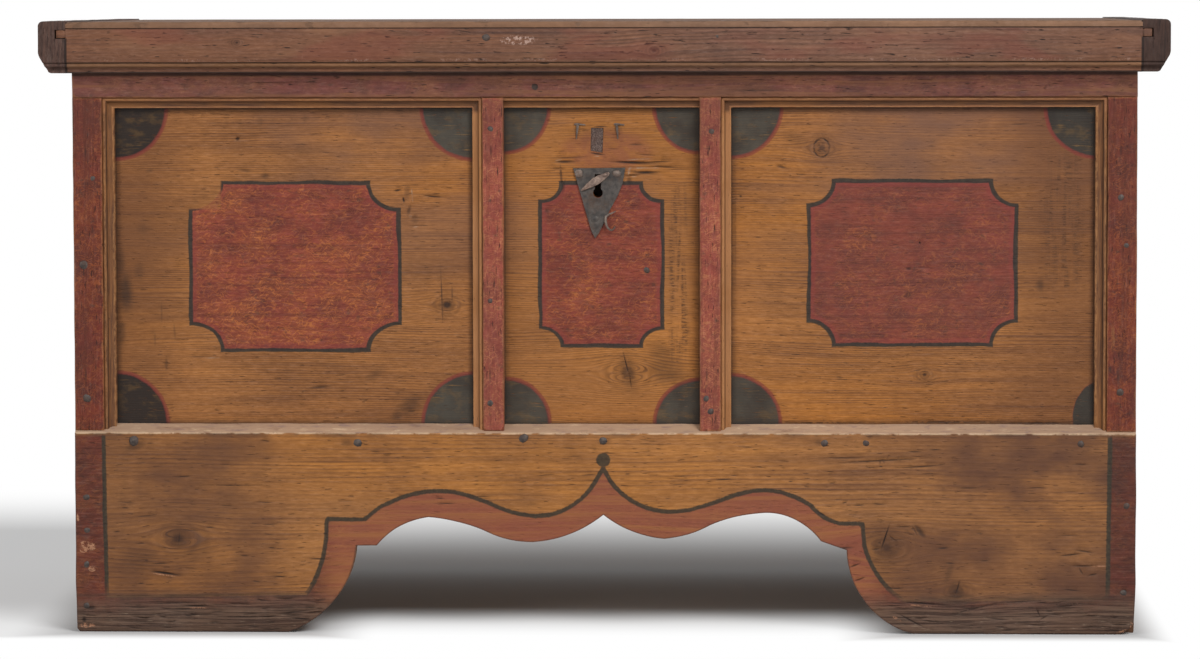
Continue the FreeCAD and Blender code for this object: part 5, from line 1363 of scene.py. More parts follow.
# %% The stained pine of the carcass
def board_finish(name, axes, seed, light, dark, warm, grime=0.3, joint=None):
    """Plain stained or bare pine, handled along its edges. Colours are given from 0 to 255."""
    material, t = new_finish(name)
    light, dark, warm = rgb(*light), rgb(*dark), rgb(*warm)
    m = pine(t, axes, (), seed, 210.0)
    colour = wood_colour(t, m, light, dark, warm)
    blotch = t.cloud(m.place, 7.0, 4.0, 0.6).step(0.46, 0.72)
    colour.coat(blotch * grime, tuple(0.45 * c for c in dark))
    edge = t.attribute("edge") * 1000.0
    chips = t.cloud(m.place, 80.0, 4.0, 0.65)
    rim = (edge + (chips - 0.5) * 5.0).step(2.6, 0.4)
    colour.coat(rim * 0.30, tuple(min(1.0, 1.5 * c) for c in light))
    colour.coat(t.attribute("stain").clamp(), SOOT_AND_SHADE)
    scuffs = t.field(m.along * 26.0, m.across * 130.0, m.into * 130.0, 4.0, 0.7).step(0.63, 0.73)
    colour.coat(scuffs * 0.35, tuple(0.4 * c for c in dark))
    foot = (m.place.part("Z") + (m.patch - 0.5) * 0.06).step(0.07, 0.01)
    colour.coat(foot * 0.7, 58, 44, 37)
    if joint:
        x, z = m.place.part("X") * 1000.0, m.place.part("Z") * 1000.0
        colour.coat((x.abs() - joint).step(2.4, 1.0) * z.step(692.0, 690.0) * 0.9, SOOT_AND_SHADE)
        colour.coat(x.step(0.0, 500.0) * 0.5, tuple(0.4 * c for c in dark))
    finished(t, colour, 0.6 + m.fibre * 0.14, wood_height(m) - scuffs * 0.4)
    return material


CLEAT_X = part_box("lid_cleat_right")[0].x
PLAIN = [board_finish(*row) for row in (
    ("side_pine", "YZX", 17.0, (138, 93, 58), (80, 51, 36), (144, 92, 50)),
    ("back_pine", "XZY", 19.0, (146, 106, 74), (90, 62, 45), (142, 98, 60), 0.4),
    ("lid_pine", "XYZ", 23.0, (130, 98, 76), (66, 46, 37), (126, 88, 60), 0.5),
    ("bare_pine", "XYZ", 29.0, (186, 146, 104), (128, 90, 60), (190, 146, 96), 0.2),
    ("bare_pine_across", "YXZ", 31.0, (180, 140, 100), (122, 86, 58), (184, 140, 92)),
    ("cleat_wood", "YXZ", 37.0, (92, 67, 58), (52, 38, 34), (90, 62, 50), 0.25, 1000 * CLEAT_X),
    ("corner_block_pine", "ZXY", 41.0, (170, 130, 92), (116, 82, 56), (172, 130, 84)),
)]
side_pine, back_pine, lid_pine, bare_pine, bare_cross, dark_across, bare_upright = PLAIN
print("plain boards:", [material.name for material in PLAIN])

# %% End boards
ARCH_FRONT, ARCH_BACK, ARCH_TOP, ARCH_R = PANEL_Y + 0.112, BACK_Y - 0.112, 0.095, 0.070


def comb(y, inner_y, low, high):
    """The edge of an end board between two heights, out to y between the tails and in to inner_y at them."""
    edge = [(y, low)] if low < WALL_FOOT_Z else [(y if abs(low - WALL_FOOT_Z) < 1e-4 else inner_y, low)]
    for i in range(TAILS):
        middle = WALL_FOOT_Z + (i + 0.5) * TAIL_PITCH
        for v, now, then in ((middle - FLARE, y, inner_y), (middle + FLARE, inner_y, y)):
            if low < v < high:
                edge += [(now, v), (then, v)]
    return edge + [(edge[-1][0], high)]


def end_board(low, high):
    """An end board between two heights; the lower one has the arch between its feet."""
    front, back = comb(PANEL_Y, INSIDE_FRONT_Y, low, high), comb(BACK_Y, INSIDE_BACK_Y, low, high)
    loop = back + front[::-1]
    if low == 0.0:
        bend = ARCH_R * (1 - math.sqrt(0.5))
        rises = [arc((foot, ARCH_TOP - ARCH_R), (foot + way * bend, ARCH_TOP - bend),
                     (foot + way * ARCH_R, ARCH_TOP), 12)
                 for foot, way in ((ARCH_FRONT, 1), (ARCH_BACK, -1))]
        loop += [(ARCH_FRONT, 0.0)] + rises[0] + rises[1][::-1] + [(ARCH_BACK, 0.0)]
    return loop


def heights(low, high):
    """Where marks may lie between two heights, in millimetres."""
    return (1000 * low + 20, 1000 * high - 20)


KNOCK = ((0.3, 0.9), (0.2, 0.8))  # how dark and how deep a knock may be
side_seam = WALL_FOOT_Z + 2.5 * TAIL_PITCH
for side, sign in (("left", -1), ("right", 1)):
    for part, low, high in (("lower", 0.0, side_seam - 0.15 * MM), ("upper", side_seam + 0.15 * MM, RIM_Z)):
        marks = knocks(sign + high, 26, (-240, 260), heights(low, high), (4, 22), (0.6, 1.4), (-6, 6), *KNOCK)
        board = plank(f"end_board_{side}_{part}", end_board(low, high), on_side(sign), HALF - INSIDE_X,
                      rub=1.0, gap=10.0, uneven=0.4, stray=0.15, marks=marks, seed=30 + sign + high, rows=2)
        dress(board, "carcass", side_pine, "side_wood", f"side_board_{side}_{part}")
print("end board:", len(board.data.polygons), "faces")

# %% Back boards
back_seam = WALL_FOOT_Z + 3 * TAIL_PITCH
HINGE_X = 390 * MM


def notched(loop):
    """Cuts the two shallow notches for the hinge straps out of the rim."""
    made = []
    for (ax, ay), (bx, by) in zip(loop, loop[1:] + loop[:1]):
        made.append((ax, ay))
        if abs(ay - RIM_Z) < 1e-6 and abs(by - RIM_Z) < 1e-6:
            way = 1 if bx > ax else -1
            for x in sorted((-HINGE_X, HINGE_X), key=lambda value: way * value):
                low = RIM_Z - 3.2 * MM
                made += [(x - way * 10.5 * MM, RIM_Z), (x - way * 10.5 * MM, low)]
                made += [(x + way * 10.5 * MM, low), (x + way * 10.5 * MM, RIM_Z)]
    return made


for part, low, high in (("lower", WALL_FOOT_Z, back_seam - 0.3 * MM), ("upper", back_seam + 0.3 * MM, RIM_Z)):
    marks = knocks(high, 40, (-560, 560), heights(low, high), (5, 40), (0.6, 1.5), (-4, 4), *KNOCK)
    outline = notched(tailed(low, high)) if part == "upper" else tailed(low, high)
    board = plank(f"rear_board_{part}", outline, on_back(BACK_Y), BACK_Y - INSIDE_BACK_Y, rub=0.7, gap=12.0,
                  uneven=0.5, stray=0.1, marks=marks, seed=40 + high)
    dress(board, "carcass", back_pine, "side_wood", f"back_board_{part}")
print("back board:", len(board.data.polygons), "faces")

# %% [markdown]
# ## The lid
# Two boards with a rounded nose over a moulded strip, and a cleat at each end that keeps them flat. The strip
# is swept from its section as the mouldings were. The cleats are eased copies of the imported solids, because
# their shape is already right and only their arrises are too sharp.

# %% Lid boards
FASCIA_BACK_Y = LID_FRONT_Y + 24 * MM
LIP = 7.5 * MM
LID_SEAM_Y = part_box("lid_board_front")[1].y


def nose(u, v):
    """Thickness of the front board: thin where it lies over the moulded strip."""
    return LIP if v < FASCIA_BACK_Y else LID_TOP_Z - LID_UNDER_Z


lid_marks = knocks(77, 90, (-590, 590), (-295, 300), (5, 45), (0.6, 1.6), (-5, 5), *KNOCK)
lid_marks += marks_of((120, -80, 26, 22, 0, 0.35), (-300, 150, 30, 24, 0, 0.3), (380, 90, 9, 9, 0, 0.6, 0.3))
for part, node, low, high, under in (("front", "lid_board_front", LID_FRONT_Y, LID_SEAM_Y - 0.3 * MM, nose),
                                     ("rear", "lid_board_back", LID_SEAM_Y + 0.3 * MM, LID_BACK_Y, None)):
    marks = [k for k in lid_marks if low + 0.004 < k.v < high - 0.004]
    rows = [(u, FASCIA_BACK_Y + dy * MM) for u in np.arange(-CLEAT_X + 0.004, CLEAT_X, 8 * MM)
            for dy in (-0.4, 0.4)]
    board = plank(f"lid_plank_{part}", rectangle(-CLEAT_X, CLEAT_X, low, high), on_top(LID_TOP_Z),
                  LID_TOP_Z - LID_UNDER_Z, rub=3.2 if under else 1.5, gap=11.0, uneven=0.5, stray=0.15,
                  extra=rows if under else (), under=under, marks=marks, seed=50.0, rows=2)
    dress(board, "lid", lid_pine, "lid_wood", node)
print("lid board:", len(board.data.polygons), "faces")


# %% The moulded strip's material
def dark_edge_finish():
    """Dry dark pine, rubbed pale on its nose and in patches on its face."""
    material, t = new_finish("dark_edge_pine")
    m = pine(t, "XZY", [(0.06, 0.676, 0.006), (-0.42, 0.686, 0.004)], 43.0, 240.0)
    z = m.across * 1000.0
    colour = wood_colour(t, m, rgb(128, 91, 72), rgb(78, 53, 44), rgb(128, 84, 58))
    rubbed = t.field(m.along * 5.0, 1.0, m.across * 34.0, 4.0, 0.6).step(0.50, 0.70)
    colour.coat(rubbed * 0.4, 152, 108, 78)
    scratches = t.field(m.along * 150.0, 3.0, m.across * 26.0, 3.0).step(0.68, 0.75)
    colour.coat(scratches * rubbed * 0.7, 186, 152, 128)
    chips = t.cloud(m.place, 90.0, 4.0, 0.65)
    # The bead is painted a lighter ochre: bare wood worn through, and a painted highlight on its round.
    bead = (z - 660.2 + (chips - 0.5) * 2.0).abs().step(4.6, 1.0)
    colour.coat(bead * 0.4, 124, 90, 55)
    # Painted shade: a dark line in the quirk, and a painted shadow along the strip's bottom edge.
    quirk = (z - 662.8).abs().step(1.3, 0.4)
    colour.coat((quirk * 0.6).max(z.step(653.4, 652.0) * 0.85), SOOT_AND_SHADE)
    colour.coat(m.pores * 0.8, SOOT_AND_SHADE)
    x, flakes = m.along * 1000.0, t.cloud(m.place, 260.0, 3.0, 0.7)
    red = t.field(m.along * 7.0, 5.0, m.across * 20.0, 3.0, 0.5).step(0.50, 0.62)
    colour.coat(red * z.step(664.0, 667.0) * 0.3, 122, 60, 50)
    patch = ((x + 96.0) * 0.040).math("POWER", 2.0) + ((z - 688.5) * 0.15).math("POWER", 2.0)
    crumbs = (z - 665.8).abs().step(2.4, 0.4) * t.cloud(m.place, 18.0, 2.0).step(0.50, 0.62) * 0.5
    crumbs = (patch.step(1.0, 0.3) * 1.3).max(crumbs) * flakes.step(0.50, 0.60)
    colour.coat((crumbs * 0.7).clamp(), 180, 150, 136)
    # Painted shadow: a broken dark line along the strip's top, under the lid board's lip.
    colour.coat(z.step(700.6, 702.4) * flakes.step(0.30, 0.46) * 0.8, SOOT_AND_SHADE)
    grime = t.field(m.along * 9.0, 2.0, m.across * 26.0, 4.0, 0.6).step(0.50, 0.74)
    colour.coat(grime * 0.45, 70, 50, 44)
    reach = m.along.abs() * 1000.0
    gap = reach.step(616.0, 617.4) * reach.step(618.1, 618.0) * z.step(692.0, 690.5)
    colour.coat(gap * 0.9, SOOT_AND_SHADE)
    finished(t, colour, 0.6 + m.fibre * 0.12, wood_height(m), 0.5)
    return material


dark_edge = dark_edge_finish()
print("lid strip material:", dark_edge.name)

# %% The strip's section
foot_z = 651.0
quirk_z, hollow_z, fillet_z = foot_z + 12.2, foot_z + 6.8, foot_z + 2.2
strip_top = 1000 * (LID_TOP_Z - LIP) - 0.2
front = [(y, strip_top - down) for y, down in ((0.4, 0), (0.0, 1.2), (0.0, 9.0), (0.1, 18.0), (0.0, 27.0))]
front += [(0.0, quirk_z + 0.7), (0.5, quirk_z), (2.0, quirk_z - 0.5)]
front += arc((2.0, quirk_z - 1.4), (0.9, hollow_z + 1.9), (2.6, hollow_z), 6)
front += arc((2.6, hollow_z), (5.2, hollow_z - 1.6), (5.6, fillet_z), 5)[1:]
front += [(4.4, fillet_z), (4.4, foot_z + 0.4), (5.0, foot_z)]
strip_section = [(-(24.0 - y), z - foot_z) for y, z in front] + [(0.0, 0.0), (0.0, strip_top - foot_z)]
section = section_mesh(scaled([(-x, z) for x, z in strip_section]))
width = 2 * CLEAT_X
mesh = grown("lid_strip", section, swept_moulding, length=width, spacing=0.007, unevenness=0.00022, seed=4.0,
             finish=dark_edge)
place = Matrix(((0, 0, 1, -CLEAT_X), (-1, 0, 0, FASCIA_BACK_Y), (0, 1, 0, foot_z * MM), (0, 0, 0, 1)))
mesh.transform(place)
dress(as_object("lid_strip", mesh), "lid", dark_edge, "dark_edge_wood", "lid_fascia")
print("lid strip:", len(mesh.polygons), "faces")

# %% The tongues that the cleats are grooved for
for side, sign in (("left", -1), ("right", 1)):
    ends = sorted((sign * (CLEAT_X + 0.1 * MM), sign * (CLEAT_X + 10.8 * MM)))
    tongue = plank(f"lid_tongue_{side}", rectangle(*ends, LID_FRONT_Y + 0.4 * MM, LID_BACK_Y - 1.0 * MM),
                   on_top(700.6 * MM), 9.2 * MM, rub=0.6, gap=6.0, uneven=0.2, stray=0.2, seed=55.0 + sign)
    dress(tongue, "lid", dark_edge, "dark_edge_wood")
print("tongue:", len(tongue.data.polygons), "faces")


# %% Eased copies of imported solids
def eased(node, material, slot, body, width=0.9, gap=14.0, rough=0.3, segments=2):
    """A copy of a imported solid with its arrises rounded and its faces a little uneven."""
    mesh = bpy.data.meshes.new(node + "_eased")
    with editing(mesh, bpy.data.objects[node].data) as shape:
        bmesh.ops.remove_doubles(shape, verts=shape.verts, dist=1e-5)
        bmesh.ops.dissolve_limit(shape, angle_limit=math.radians(0.5), verts=shape.verts, edges=shape.edges)
        sharp = [e for e in shape.edges
                 if len(e.link_faces) == 2 and e.calc_face_angle(0.0) > math.radians(32)]
        bmesh.ops.bevel(shape, geom=sharp, offset=width * MM, segments=segments, profile=0.5, affect="EDGES",
                        clamp_overlap=True)
        bmesh.ops.triangulate(shape, faces=shape.faces)
        for _ in range(6):
            long = [e for e in shape.edges if e.calc_length() > 2 * gap * MM]
            if not long:
                break
            bmesh.ops.subdivide_edges(shape, edges=long, cuts=1)
            bmesh.ops.triangulate(shape, faces=[f for f in shape.faces if len(f.verts) > 3])
        bmesh.ops.remove_doubles(shape, verts=shape.verts, dist=1e-6)
        for vert in shape.verts:
            wave = noise.noise_vector(vert.co * 26.0) * 0.8 + noise.noise_vector(vert.co * 90.0) * 0.25
            vert.co += rough * MM * wave
    keep(mesh, "edge", [], 0.05)
    return dress(as_object(mesh.name, mesh), body, material, slot, node)


# %% Cleats, pegs, floor, till and corner blocks
for side in ("left", "right"):
    eased(f"lid_cleat_{side}", dark_across, "dark_edge_wood", "lid", width=1.4, gap=9.0, rough=0.35)
    eased(f"corner_block_{side}", bare_upright, "bare_wood", "carcass", width=1.5)
eased("cleat_pegs", dark_across, "lid_wood", "lid", width=0.4, rough=0.1)
eased("floor_board_front", bare_pine, "bare_wood", "carcass", width=0.8, gap=24.0)
eased("floor_board_back", bare_pine, "bare_wood", "carcass", width=0.8, gap=24.0)
for node, body in (("till_wall", "carcass"), ("till_floor", "carcass"), ("till_lid", "till_lid")):
    eased(node, bare_cross, "bare_wood", body, width=0.9, gap=16.0)
print("inside woods:", bare_cross.name, bare_upright.name)

# %% [markdown]
# ## Iron
# The smith's iron is not one grey: hammer scale is blue-black, handling leaves a brown sheen, and rust stands
# in the hollows. One material with two strengths of polish covers the lock, the hinges and the nails.


# %% Forged iron
def iron_finish(name, dark, light, rust, amount, scale=1.0, metallic=0.2):
    material, t = new_finish(name)
    place = t.node("ShaderNodeTexCoord", {}, [], output=3)
    scale_marks = t.cloud(place, 120.0 * scale, 4.0, 0.6)
    pits = t.cloud(place, 620.0 * scale, 4.0, 0.65)
    patch = t.cloud(place, 45.0 * scale, 4.0, 0.6)
    colour = t.mix(scale_marks.step(0.32, 0.68), dark, light)
    rusty = (patch.step(0.48, 0.66) * (pits.step(0.40, 0.60) * 0.7 + 0.3) * amount).clamp()
    colour.coat(rusty, rust)
    colour.coat(pits.step(0.62, 0.74) * 0.6, 34, 26, 24)
    height = scale_marks * 0.8 + pits * 0.35 - rusty * 0.2
    finished(t, colour, 0.42 + scale_marks * 0.22 + rusty * 0.2, height, 0.5, metallic=metallic, gloss=0.4)
    return material


plate_iron = iron_finish("plate_iron", rgb(50, 46, 44), rgb(82, 75, 70), rgb(78, 57, 44), 0.7)
dark_iron = iron_finish("dark_iron", rgb(84, 72, 66), rgb(128, 114, 104), rgb(96, 68, 52), 0.7)
nail_iron = iron_finish("nail_iron", rgb(44, 36, 33), rgb(82, 70, 63), rgb(68, 46, 36), 1.0, 2.0, 0.0)
bright_iron = iron_finish("handled_iron", rgb(96, 78, 70), rgb(152, 130, 116), rgb(104, 74, 58), 0.8, 1.4)
inner_iron = iron_finish("inner_iron", rgb(74, 64, 60), rgb(116, 102, 92), rgb(116, 70, 44), 1.0)

for node, body in (
    ("hinge_strap_left", "lid"), ("hinge_strap_right", "lid"), ("lid_staples", "lid"),
    ("hinge_plate_left", "carcass"), ("hinge_plate_right", "carcass"), ("lock_plate", "carcass"),
    ("lock_case", "carcass"),
):
    # No unevenness here: the knuckles turn on their pins with little play.
    eased(node, inner_iron, "forged_iron", body, width=0.5, rough=0.0, segments=1)
for node in ("hinge_pins", "hinge_plate_nails", "lid_iron_nails", "lock_nails", "bolt_keepers", "lock_bolt",
             "lock_lever", "lock_posts", "lock_spring"):
    packed = bpy.data.objects[node].data.materials
    packed.clear()
    packed.append(inner_iron)
print("irons:", plate_iron.name, dark_iron.name, nail_iron.name, bright_iron.name, inner_iron.name)

# %% [markdown]
# ## Nails
# A wrought nail has a rose head: a few hammer facets drawn up to a blunt point, no two alike. One head of a
# few dozen faces is enough, if every copy is turned and sized on its own. Instances in Geometry Nodes do that
# from a cloud of points that carries a size.


# %% A rose head
def rose_head():
    """A facetted head round +Z, about 5 mm in radius, open at no side."""
    dice = random.Random(3)
    rings = [(5.0, -0.6), (5.1, 0.0), (4.7, 0.7), (3.2, 1.7), (1.3, 2.25)]
    shape = bmesh.new()
    rows = []
    for radius, height in rings:
        row = []
        for i in range(9):
            turn = math.tau * (i + dice.uniform(-0.14, 0.14)) / 9
            r = radius * (1 + dice.uniform(-0.09, 0.09))
            row.append(shape.verts.new((r * math.cos(turn) * MM, r * math.sin(turn) * MM,
                                        (height + dice.uniform(-0.12, 0.12)) * MM)))
        rows.append(row)
    for low, high in zip(rows, rows[1:]):
        for i in range(9):
            shape.faces.new((low[i], low[(i + 1) % 9], high[(i + 1) % 9], high[i]))
    shape.faces.new(rows[0][::-1])
    tip = shape.verts.new((0.2 * MM, -0.1 * MM, 2.5 * MM))
    for i in range(9):
        shape.faces.new((rows[-1][i], rows[-1][(i + 1) % 9], tip))
    mesh = bpy.data.meshes.new("rose_head")
    shape.to_mesh(mesh)
    shape.free()
    return add("rose_head", mesh)


head = rose_head()
print("rose head:", len(head.data.vertices), "points")


# %% A tree that sets heads on points
def nail_tree():
    t, given = new_tree("nails_on_points", "Nails", {
        "Points": "Geometry", "Head": "Object", "Tilt": 0.12, "Seed": 1, "Finish": "Material"})
    head = t.node("GeometryNodeObjectInfo", {}, [given["Head"]], output=4)
    size = t.node("GeometryNodeInputNamedAttribute", {"data_type": "FLOAT"}, ["size"])
    tilt = given["Tilt"]
    low, high = t.xyz(-1.0 * tilt, -1.0 * tilt, -3.14159), t.xyz(tilt, tilt, 3.14159)
    vector = {"data_type": "FLOAT_VECTOR"}
    angle = t.node("FunctionNodeRandomValue", vector, {"Min": low, "Max": high, "Seed": given["Seed"]})
    stretch = t.node("FunctionNodeRandomValue", vector,
                     {"Min": (0.86, 0.86, 0.8), "Max": (1.12, 1.12, 1.1), "Seed": given["Seed"] + 7.0})
    stretch = t.node("ShaderNodeVectorMath", {"operation": "SCALE"}, {0: stretch, "Scale": size})
    copies = t.node("GeometryNodeInstanceOnPoints", {},
                    {"Points": given["Points"], "Instance": head, "Rotation": angle, "Scale": stretch})
    return end_tree(t, copies, given["Finish"])


nails_on_points = nail_tree()


def nails(name, places, material, body, seed, *nodes, sink=0.0):
    """Rose heads on the front, each given as y in metres, x and z in millimetres, and a size."""
    mesh = bpy.data.meshes.new("nail_points")
    mesh.from_pydata([(x * MM, z * MM, -y - sink * MM) for y, x, z, _ in places], [], [])
    mesh.attributes.new("size", "FLOAT", "POINT").data.foreach_set("value", [size for *_, size in places])
    made = grown(name, mesh, nails_on_points, head=head, tilt=0.14, seed=seed, finish=material)
    made.transform(Matrix(((1, 0, 0, 0), (0, 0, -1, 0), (0, 1, 0, 0), (0, 0, 0, 1))))
    return dress(as_object(name, made), body, material, "forged_iron", *nodes)


print("nails on points:", len(nails_on_points.nodes), "nodes")

# %% The nails of the front and the lid
strip_nails = [
    (-78.7, 634.0, 0.8), (-602.5, 428.5, 1.0), (-600.5, 273.0, 1.0), (-592.0, 529.0, 0.6),
    (596.0, 506.5, 0.8), (603.0, 451.0, 0.7), (596.5, 280.8, 1.0), (-129.6, 586.0, 0.7),
    (-130.6, 386.5, 0.7), (-131.0, 267.8, 0.8), (125.0, 583.0, 0.7), (119.4, 273.6, 0.8), (124.4, 258.8, 0.8),
]
plinth_nails = [
    (-546.0, 224.0, 1.2), (-285.4, 222.0, 1.0), (-92.0, 227.5, 1.1), (-0.6, 224.6, 1.1), (255.4, 222.4, 0.8),
    (303.5, 222.4, 0.8), (551.0, 221.6, 0.9), (-602.6, 158.0, 0.8), (-601.5, 119.0, 0.8), (-602.5, 79.5, 0.8),
    (-603.0, 31.0, 0.8), (603.8, 150.0, 0.8), (601.5, 49.0, 0.8),
]
places = [(STRIP_Y, *nail) for nail in strip_nails] + [(PLINTH_Y, *nail) for nail in plinth_nails]
places.append((PANEL_Y, 49.9, 421.6, 0.8))
nails("rose_nails_front", places, nail_iron, "carcass", 4, "front_nails", sink=0.7)
strip_ends = [(LID_FRONT_Y, -133.0, 691.5, 0.95), (LID_FRONT_Y + 0.9 * MM, 132.5, 691.5, 0.85)]
nails("rose_nails_lid_strip", strip_ends, nail_iron, "lid", 9, "fascia_nails", sink=0.7)
print(len(places) + len(strip_ends), "nails")

# %% [markdown]
# ## The lock's front iron
# A triangle of sheet iron, point down, with hammer facets; three nails; a small tapered cover swung aside;
# and a stray nail curled into a hook. Plate and cover are planks of iron: the same helper works smaller.

# %% Escutcheon and its nails
SHEET = 2.0 * MM
plate_y = PANEL_Y - SHEET
escutcheon_outline = [(-34.9, 539.7), (26.1, 540.4), (22.6, 522.0), (16.4, 507.0), (7.5, 490.4), (1.3, 477.1),
                      (-5.2, 464.0), (-9.5, 458.5), (-13.6, 466.0)]
hammering = [Mark(x, z, r, r * 0.8, turn, 0.0, 0.35) for x, z, r, turn in (
    (-20, 524, 7, 10), (6, 525, 8, -20), (16, 517, 5, 40), (-14, 498, 6, 60), (2, 496, 6, 0), (-9, 482, 5, 20),
    (-26, 534, 4, 0), (-2, 514, 5, 30), (-10, 468, 3, 0))]
plate = plank("lock_escutcheon", scaled(escutcheon_outline), on_front(plate_y), SHEET, rub=0.5, gap=2.6,
              uneven=0.5, stray=0.5, holes=[keyhole()], back_rub=0.1, seed=61.0, marks=hammering)
dress(plate, "carcass", plate_iron, "forged_iron", "escutcheon")
nails("rose_nails_lock", [(plate_y, -28.1, 533.6, 0.92), (plate_y, 15.4, 533.4, 0.95)], dark_iron,
      "carcass", 12, "escutcheon_nails", sink=0.2)
nails("rose_nail_worn", [(plate_y, -10.6, 480.4, 1.15)], plate_iron, "carcass", 14, sink=1.5)
print("keyhole plate:", len(plate.data.polygons), "faces")

# %% Keyhole cover and its rivet
cover_low, cover_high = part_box("keyhole_cover")
PIVOT, TIP = (2.3, 531.6), (-26.0, 513.6)
reach = math.dist(PIVOT, TIP)
along = ((TIP[0] - PIVOT[0]) / reach, (TIP[1] - PIVOT[1]) / reach)


def on_cover(s, w):
    return (PIVOT[0] + along[0] * s - along[1] * w, PIVOT[1] + along[1] * s + along[0] * w)


cover_outline = [on_cover(s, w) for s, w in (
    (-5.6, -0.8), (-3.0, -2.2), (2.0, -3.2), (8.0, -4.6), (15.0, -4.8), (reach * 0.7, -3.4), (reach, -0.6),
    (reach, 0.8), (reach * 0.6, 3.6), (13.0, 4.6), (7.0, 4.4), (0, 3.2), (-3.4, 2.6), (-5.8, 1.4))]
cover = plank("swinging_cover", scaled(cover_outline), on_front(cover_low.y), cover_high.y - cover_low.y,
              rub=0.8, gap=1.6, uneven=0.3, stray=0.35, back_rub=0.3, seed=66.0)
dress(cover, "keyhole_cover", bright_iron, "forged_iron", "keyhole_cover")
nails("rivet_head", [(cover_low.y, *PIVOT, 0.48)], bright_iron, "carcass", 5, "cover_rivet", sink=-0.25)
print("cover, pivot to tip:", round(reach, 1), "mm")


# %% Bent wires: the stray nail and the clenched ones
def forged_wire(name, path, radii, *nodes, sides=4):
    """A tapered iron rod along a path, with as many flats as sides; NURBS keeps its bends round."""
    curve = bpy.data.curves.new(name, "CURVE")
    curve.dimensions = "3D"
    curve.bevel_depth = 1.0 * MM
    curve.bevel_resolution = max(0, sides // 4 - 1) if sides > 4 else 0
    curve.use_fill_caps = True
    curve.resolution_u = 6
    spline = curve.splines.new("NURBS")
    spline.points.add(len(path) - 1)
    for point, place, radius in zip(spline.points, path, radii):
        point.co = (*(c * MM for c in place), 1.0)
        point.radius = radius
    spline.order_u = 3
    spline.use_endpoint_u = True
    host = add(name + "_line", curve)
    mesh = bpy.data.meshes.new_from_object(host.evaluated_get(bpy.context.evaluated_depsgraph_get()))
    mesh.name = name
    bpy.data.objects.remove(host)
    with editing(mesh) as shape:
        bmesh.ops.remove_doubles(shape, verts=shape.verts, dist=1e-6)
        bmesh.ops.holes_fill(shape, edges=[e for e in shape.edges if len(e.link_faces) == 1], sides=0)
    return dress(as_object(name, mesh), "carcass", dark_iron, "forged_iron", *nodes)


face = 1000 * PANEL_Y
hook = [(x, face - out, z) for x, out, z in (
    (3.0, -10, 484.0), (3.0, 2.0, 484.2), (2.8, 4.4, 482.6), (2.6, 4.4, 477.0), (4.6, 4.2, 471.2),
    (8.2, 4.0, 467.6), (12.2, 4.2, 468.8), (13.8, 4.4, 472.4))]
prong = [(x, face - out, z) for x, out, z in (
    (2.6, 3.4, 482.6), (6.0, 3.6, 486.4), (10.0, 4.2, 487.6), (14.8, 4.4, 490.0))]
forged_wire("stray_nail_prong", prong, (1.2, 1.25, 1.0, 0.6), sides=8)
forged_wire("hooked_stray_nail", hook, (1.6, 1.6, 1.55, 1.5, 1.35, 1.25, 1.1, 0.8), "bent_nail", sides=8)
for number, (x, lean, bar) in enumerate(((-29.5, -1.6, (-4, 9)), (15.6, 1.4, (-3, 9)))):
    shank = [(x + lean * share, face - out, z) for share, out, z in (
        (0, -28, 590.0), (0, -2, 590.0), (0, 0.9, 590.0), (0.3, 1.0, 586.0), (0.8, 0.6, 578.0), (1, 0.2, 573.5))]
    across = [(x + dx, face - out, z) for dx, out, z in (
        (bar[0], 0.2, 590.4), (-2, 0.8, 590.8), (2, 0.8, 590.6), (bar[1], 0.3, 589.6))]
    forged_wire(f"clenched_point_{number}", shank, (1.7, 1.7, 1.7, 1.4, 1.0, 0.6),
                *(("clenched_nails",) if number == 0 else ()))
    forged_wire(f"clenched_bar_{number}", across, (0.8, 1.3, 1.2, 0.7))
print("stray nail:", len(hook), "points")


# %% The plugged slot
def plug_finish():
    """Crumbled grey-brown filling, rougher than the wood round it."""
    material, t = new_finish("old_plug")
    place = t.node("ShaderNodeTexCoord", {}, [], output=3)
    crumbs, dust = t.cloud(place, 800.0, 4.0, 0.7), t.cloud(place, 130.0, 4.0, 0.6)
    colour = t.mix(crumbs.step(0.34, 0.66), rgb(62, 48, 44), rgb(116, 98, 90))
    colour.coat(dust.step(0.5, 0.7) * 0.5, 84, 62, 54)
    finished(t, colour, 0.8, crumbs + dust * 0.6, 0.7)
    return material


old_plug = plug_finish()


def crumbled(u, v):
    return 0.9 * MM + 0.5 * MM * noise.noise(Vector((u, v, 0.0)) * 320)


plug = plank("slot_filling", SLOT, on_front(PANEL_Y), INSIDE_FRONT_Y - PANEL_Y, rub=0.5, gap=1.5, uneven=0.4,
             stray=0.3, relief=crumbled, seed=70.0)
dress(plug, "carcass", old_plug, "bare_wood", "slot_plug")
print("plug:", len(plug.data.polygons), "faces")

# %% [markdown]
# ## Light and floor
# One broad soft light from the upper right, a fill from the left and a pale world. The floor glows white for the
# camera in the places that a mask gives: the camera sees a little more light there than the chest gets, so that
# the chest's own colours stay as written and its shadow stays on the floor. Between the feet and left of the
# chest the glow is partial, a painted lightening of that shadow.


# %% The floor
def seen_rays(t):
    """1 for the camera's rays, and for those that a gloss or a clear surface sends on."""
    camera_ray, glossy_ray, clear_ray = (t.node("ShaderNodeLightPath", {}, [], output=i) for i in (0, 3, 6))
    return camera_ray.max(glossy_ray).max(clear_ray)


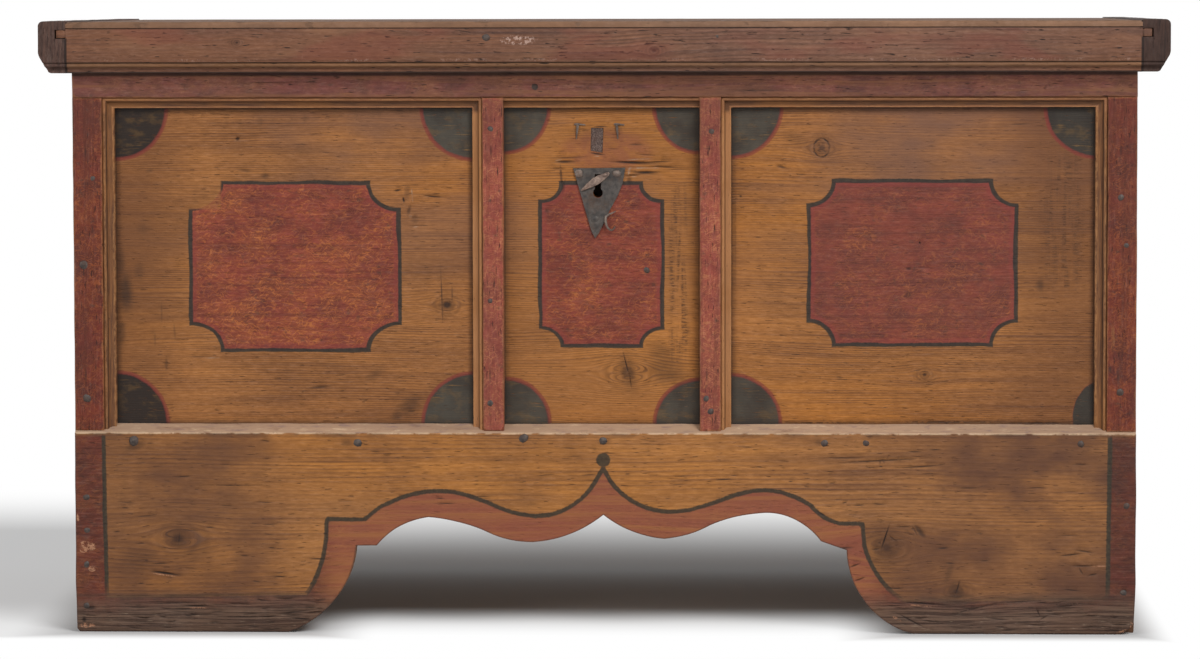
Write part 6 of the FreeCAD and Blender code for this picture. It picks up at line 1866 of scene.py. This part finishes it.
def floor_finish():
    material, t = new_finish("pale_floor")
    seen = seen_rays(t)
    place = t.node("ShaderNodeTexCoord", {}, [], output=3)
    x, y = place.part("X"), place.part("Y")
    # Where the floor glows for the camera. The partial glow between the feet and left of the chest is painted
    # light that lifts the chest's shadow there.
    clear = y.step(-0.288, -0.35).max(x.step(0.612, 0.66)).max(y.step(0.35, 1.25)).max(x.step(-0.85, -1.5))
    clear = clear.max(y.step(-0.05, -0.32) * x.abs().step(0.36, 0.26))
    clear = clear.max(x.step(-0.60, -0.70) * (0.36 + y.step(0.0, -0.28) * 0.28))
    plain = t.node("ShaderNodeBsdfDiffuse", {}, {"Color": (0.62, 0.62, 0.62, 1.0)})
    white = t.node("ShaderNodeEmission", {}, {"Color": (1.0, 1.0, 1.0, 1.0), "Strength": 1.0})
    surface = t.node("ShaderNodeMixShader", {}, [seen * clear, plain, white])
    t.tree.links.new(surface.socket, t.tree.nodes["Material Output"].inputs["Surface"])
    return material


mesh = bpy.data.meshes.new("studio_floor")
mesh.from_pydata([(-9, -9, 0), (9, -9, 0), (9, 9, 0), (-9, 9, 0)], [], [(0, 1, 2, 3)])
studio_floor = add("studio_floor", mesh)
mesh.materials.append(floor_finish())
print("floor:", len(mesh.polygons), "faces")


# %% The lights
def soft_light(name, place, target, size, power):
    """A round lamp that the camera doesn't see itself."""
    lamp = bpy.data.lights.new(name, "AREA")
    lamp.shape = "DISK"
    lamp.size = size
    lamp.energy = power
    made = add(name, lamp)
    way = Vector(target) - Vector(place)
    made.matrix_world = Matrix.Translation(place) @ way.to_track_quat("-Z", "Y").to_matrix().to_4x4()
    made.visible_camera = False


soft_light("key_upper_right", (2.2, -3.4, 3.5), (0, -0.2, 0.35), 2.2, 168.0)
soft_light("fill_left", (-3.3, -3.3, 2.2), (0, -0.2, 0.4), 2.6, 64.0)
soft_light("low_back", (-0.8, 4.2, 0.5), (0, 0.3, 0.4), 0.8, 25.0)

world = bpy.data.worlds.new("studio")
bpy.context.scene.world = world
world.use_nodes = True
t = Tree(world.node_tree)
for node in list(world.node_tree.nodes):
    world.node_tree.nodes.remove(node)
AMBIENT = 0.32
shade, white = (t.node("ShaderNodeBackground", {}, {"Color": (1.0, 1.0, 1.0, 1.0), "Strength": strength})
                for strength in (AMBIENT, 1.0))
out = world.node_tree.nodes.new("ShaderNodeOutputWorld")
surface = t.node("ShaderNodeMixShader", {}, [seen_rays(t), shade, white])
world.node_tree.links.new(surface.socket, out.inputs["Surface"])
bpy.data.objects.remove(head)
print("ambient light", AMBIENT, "and", len(bpy.data.lights), "lamps")
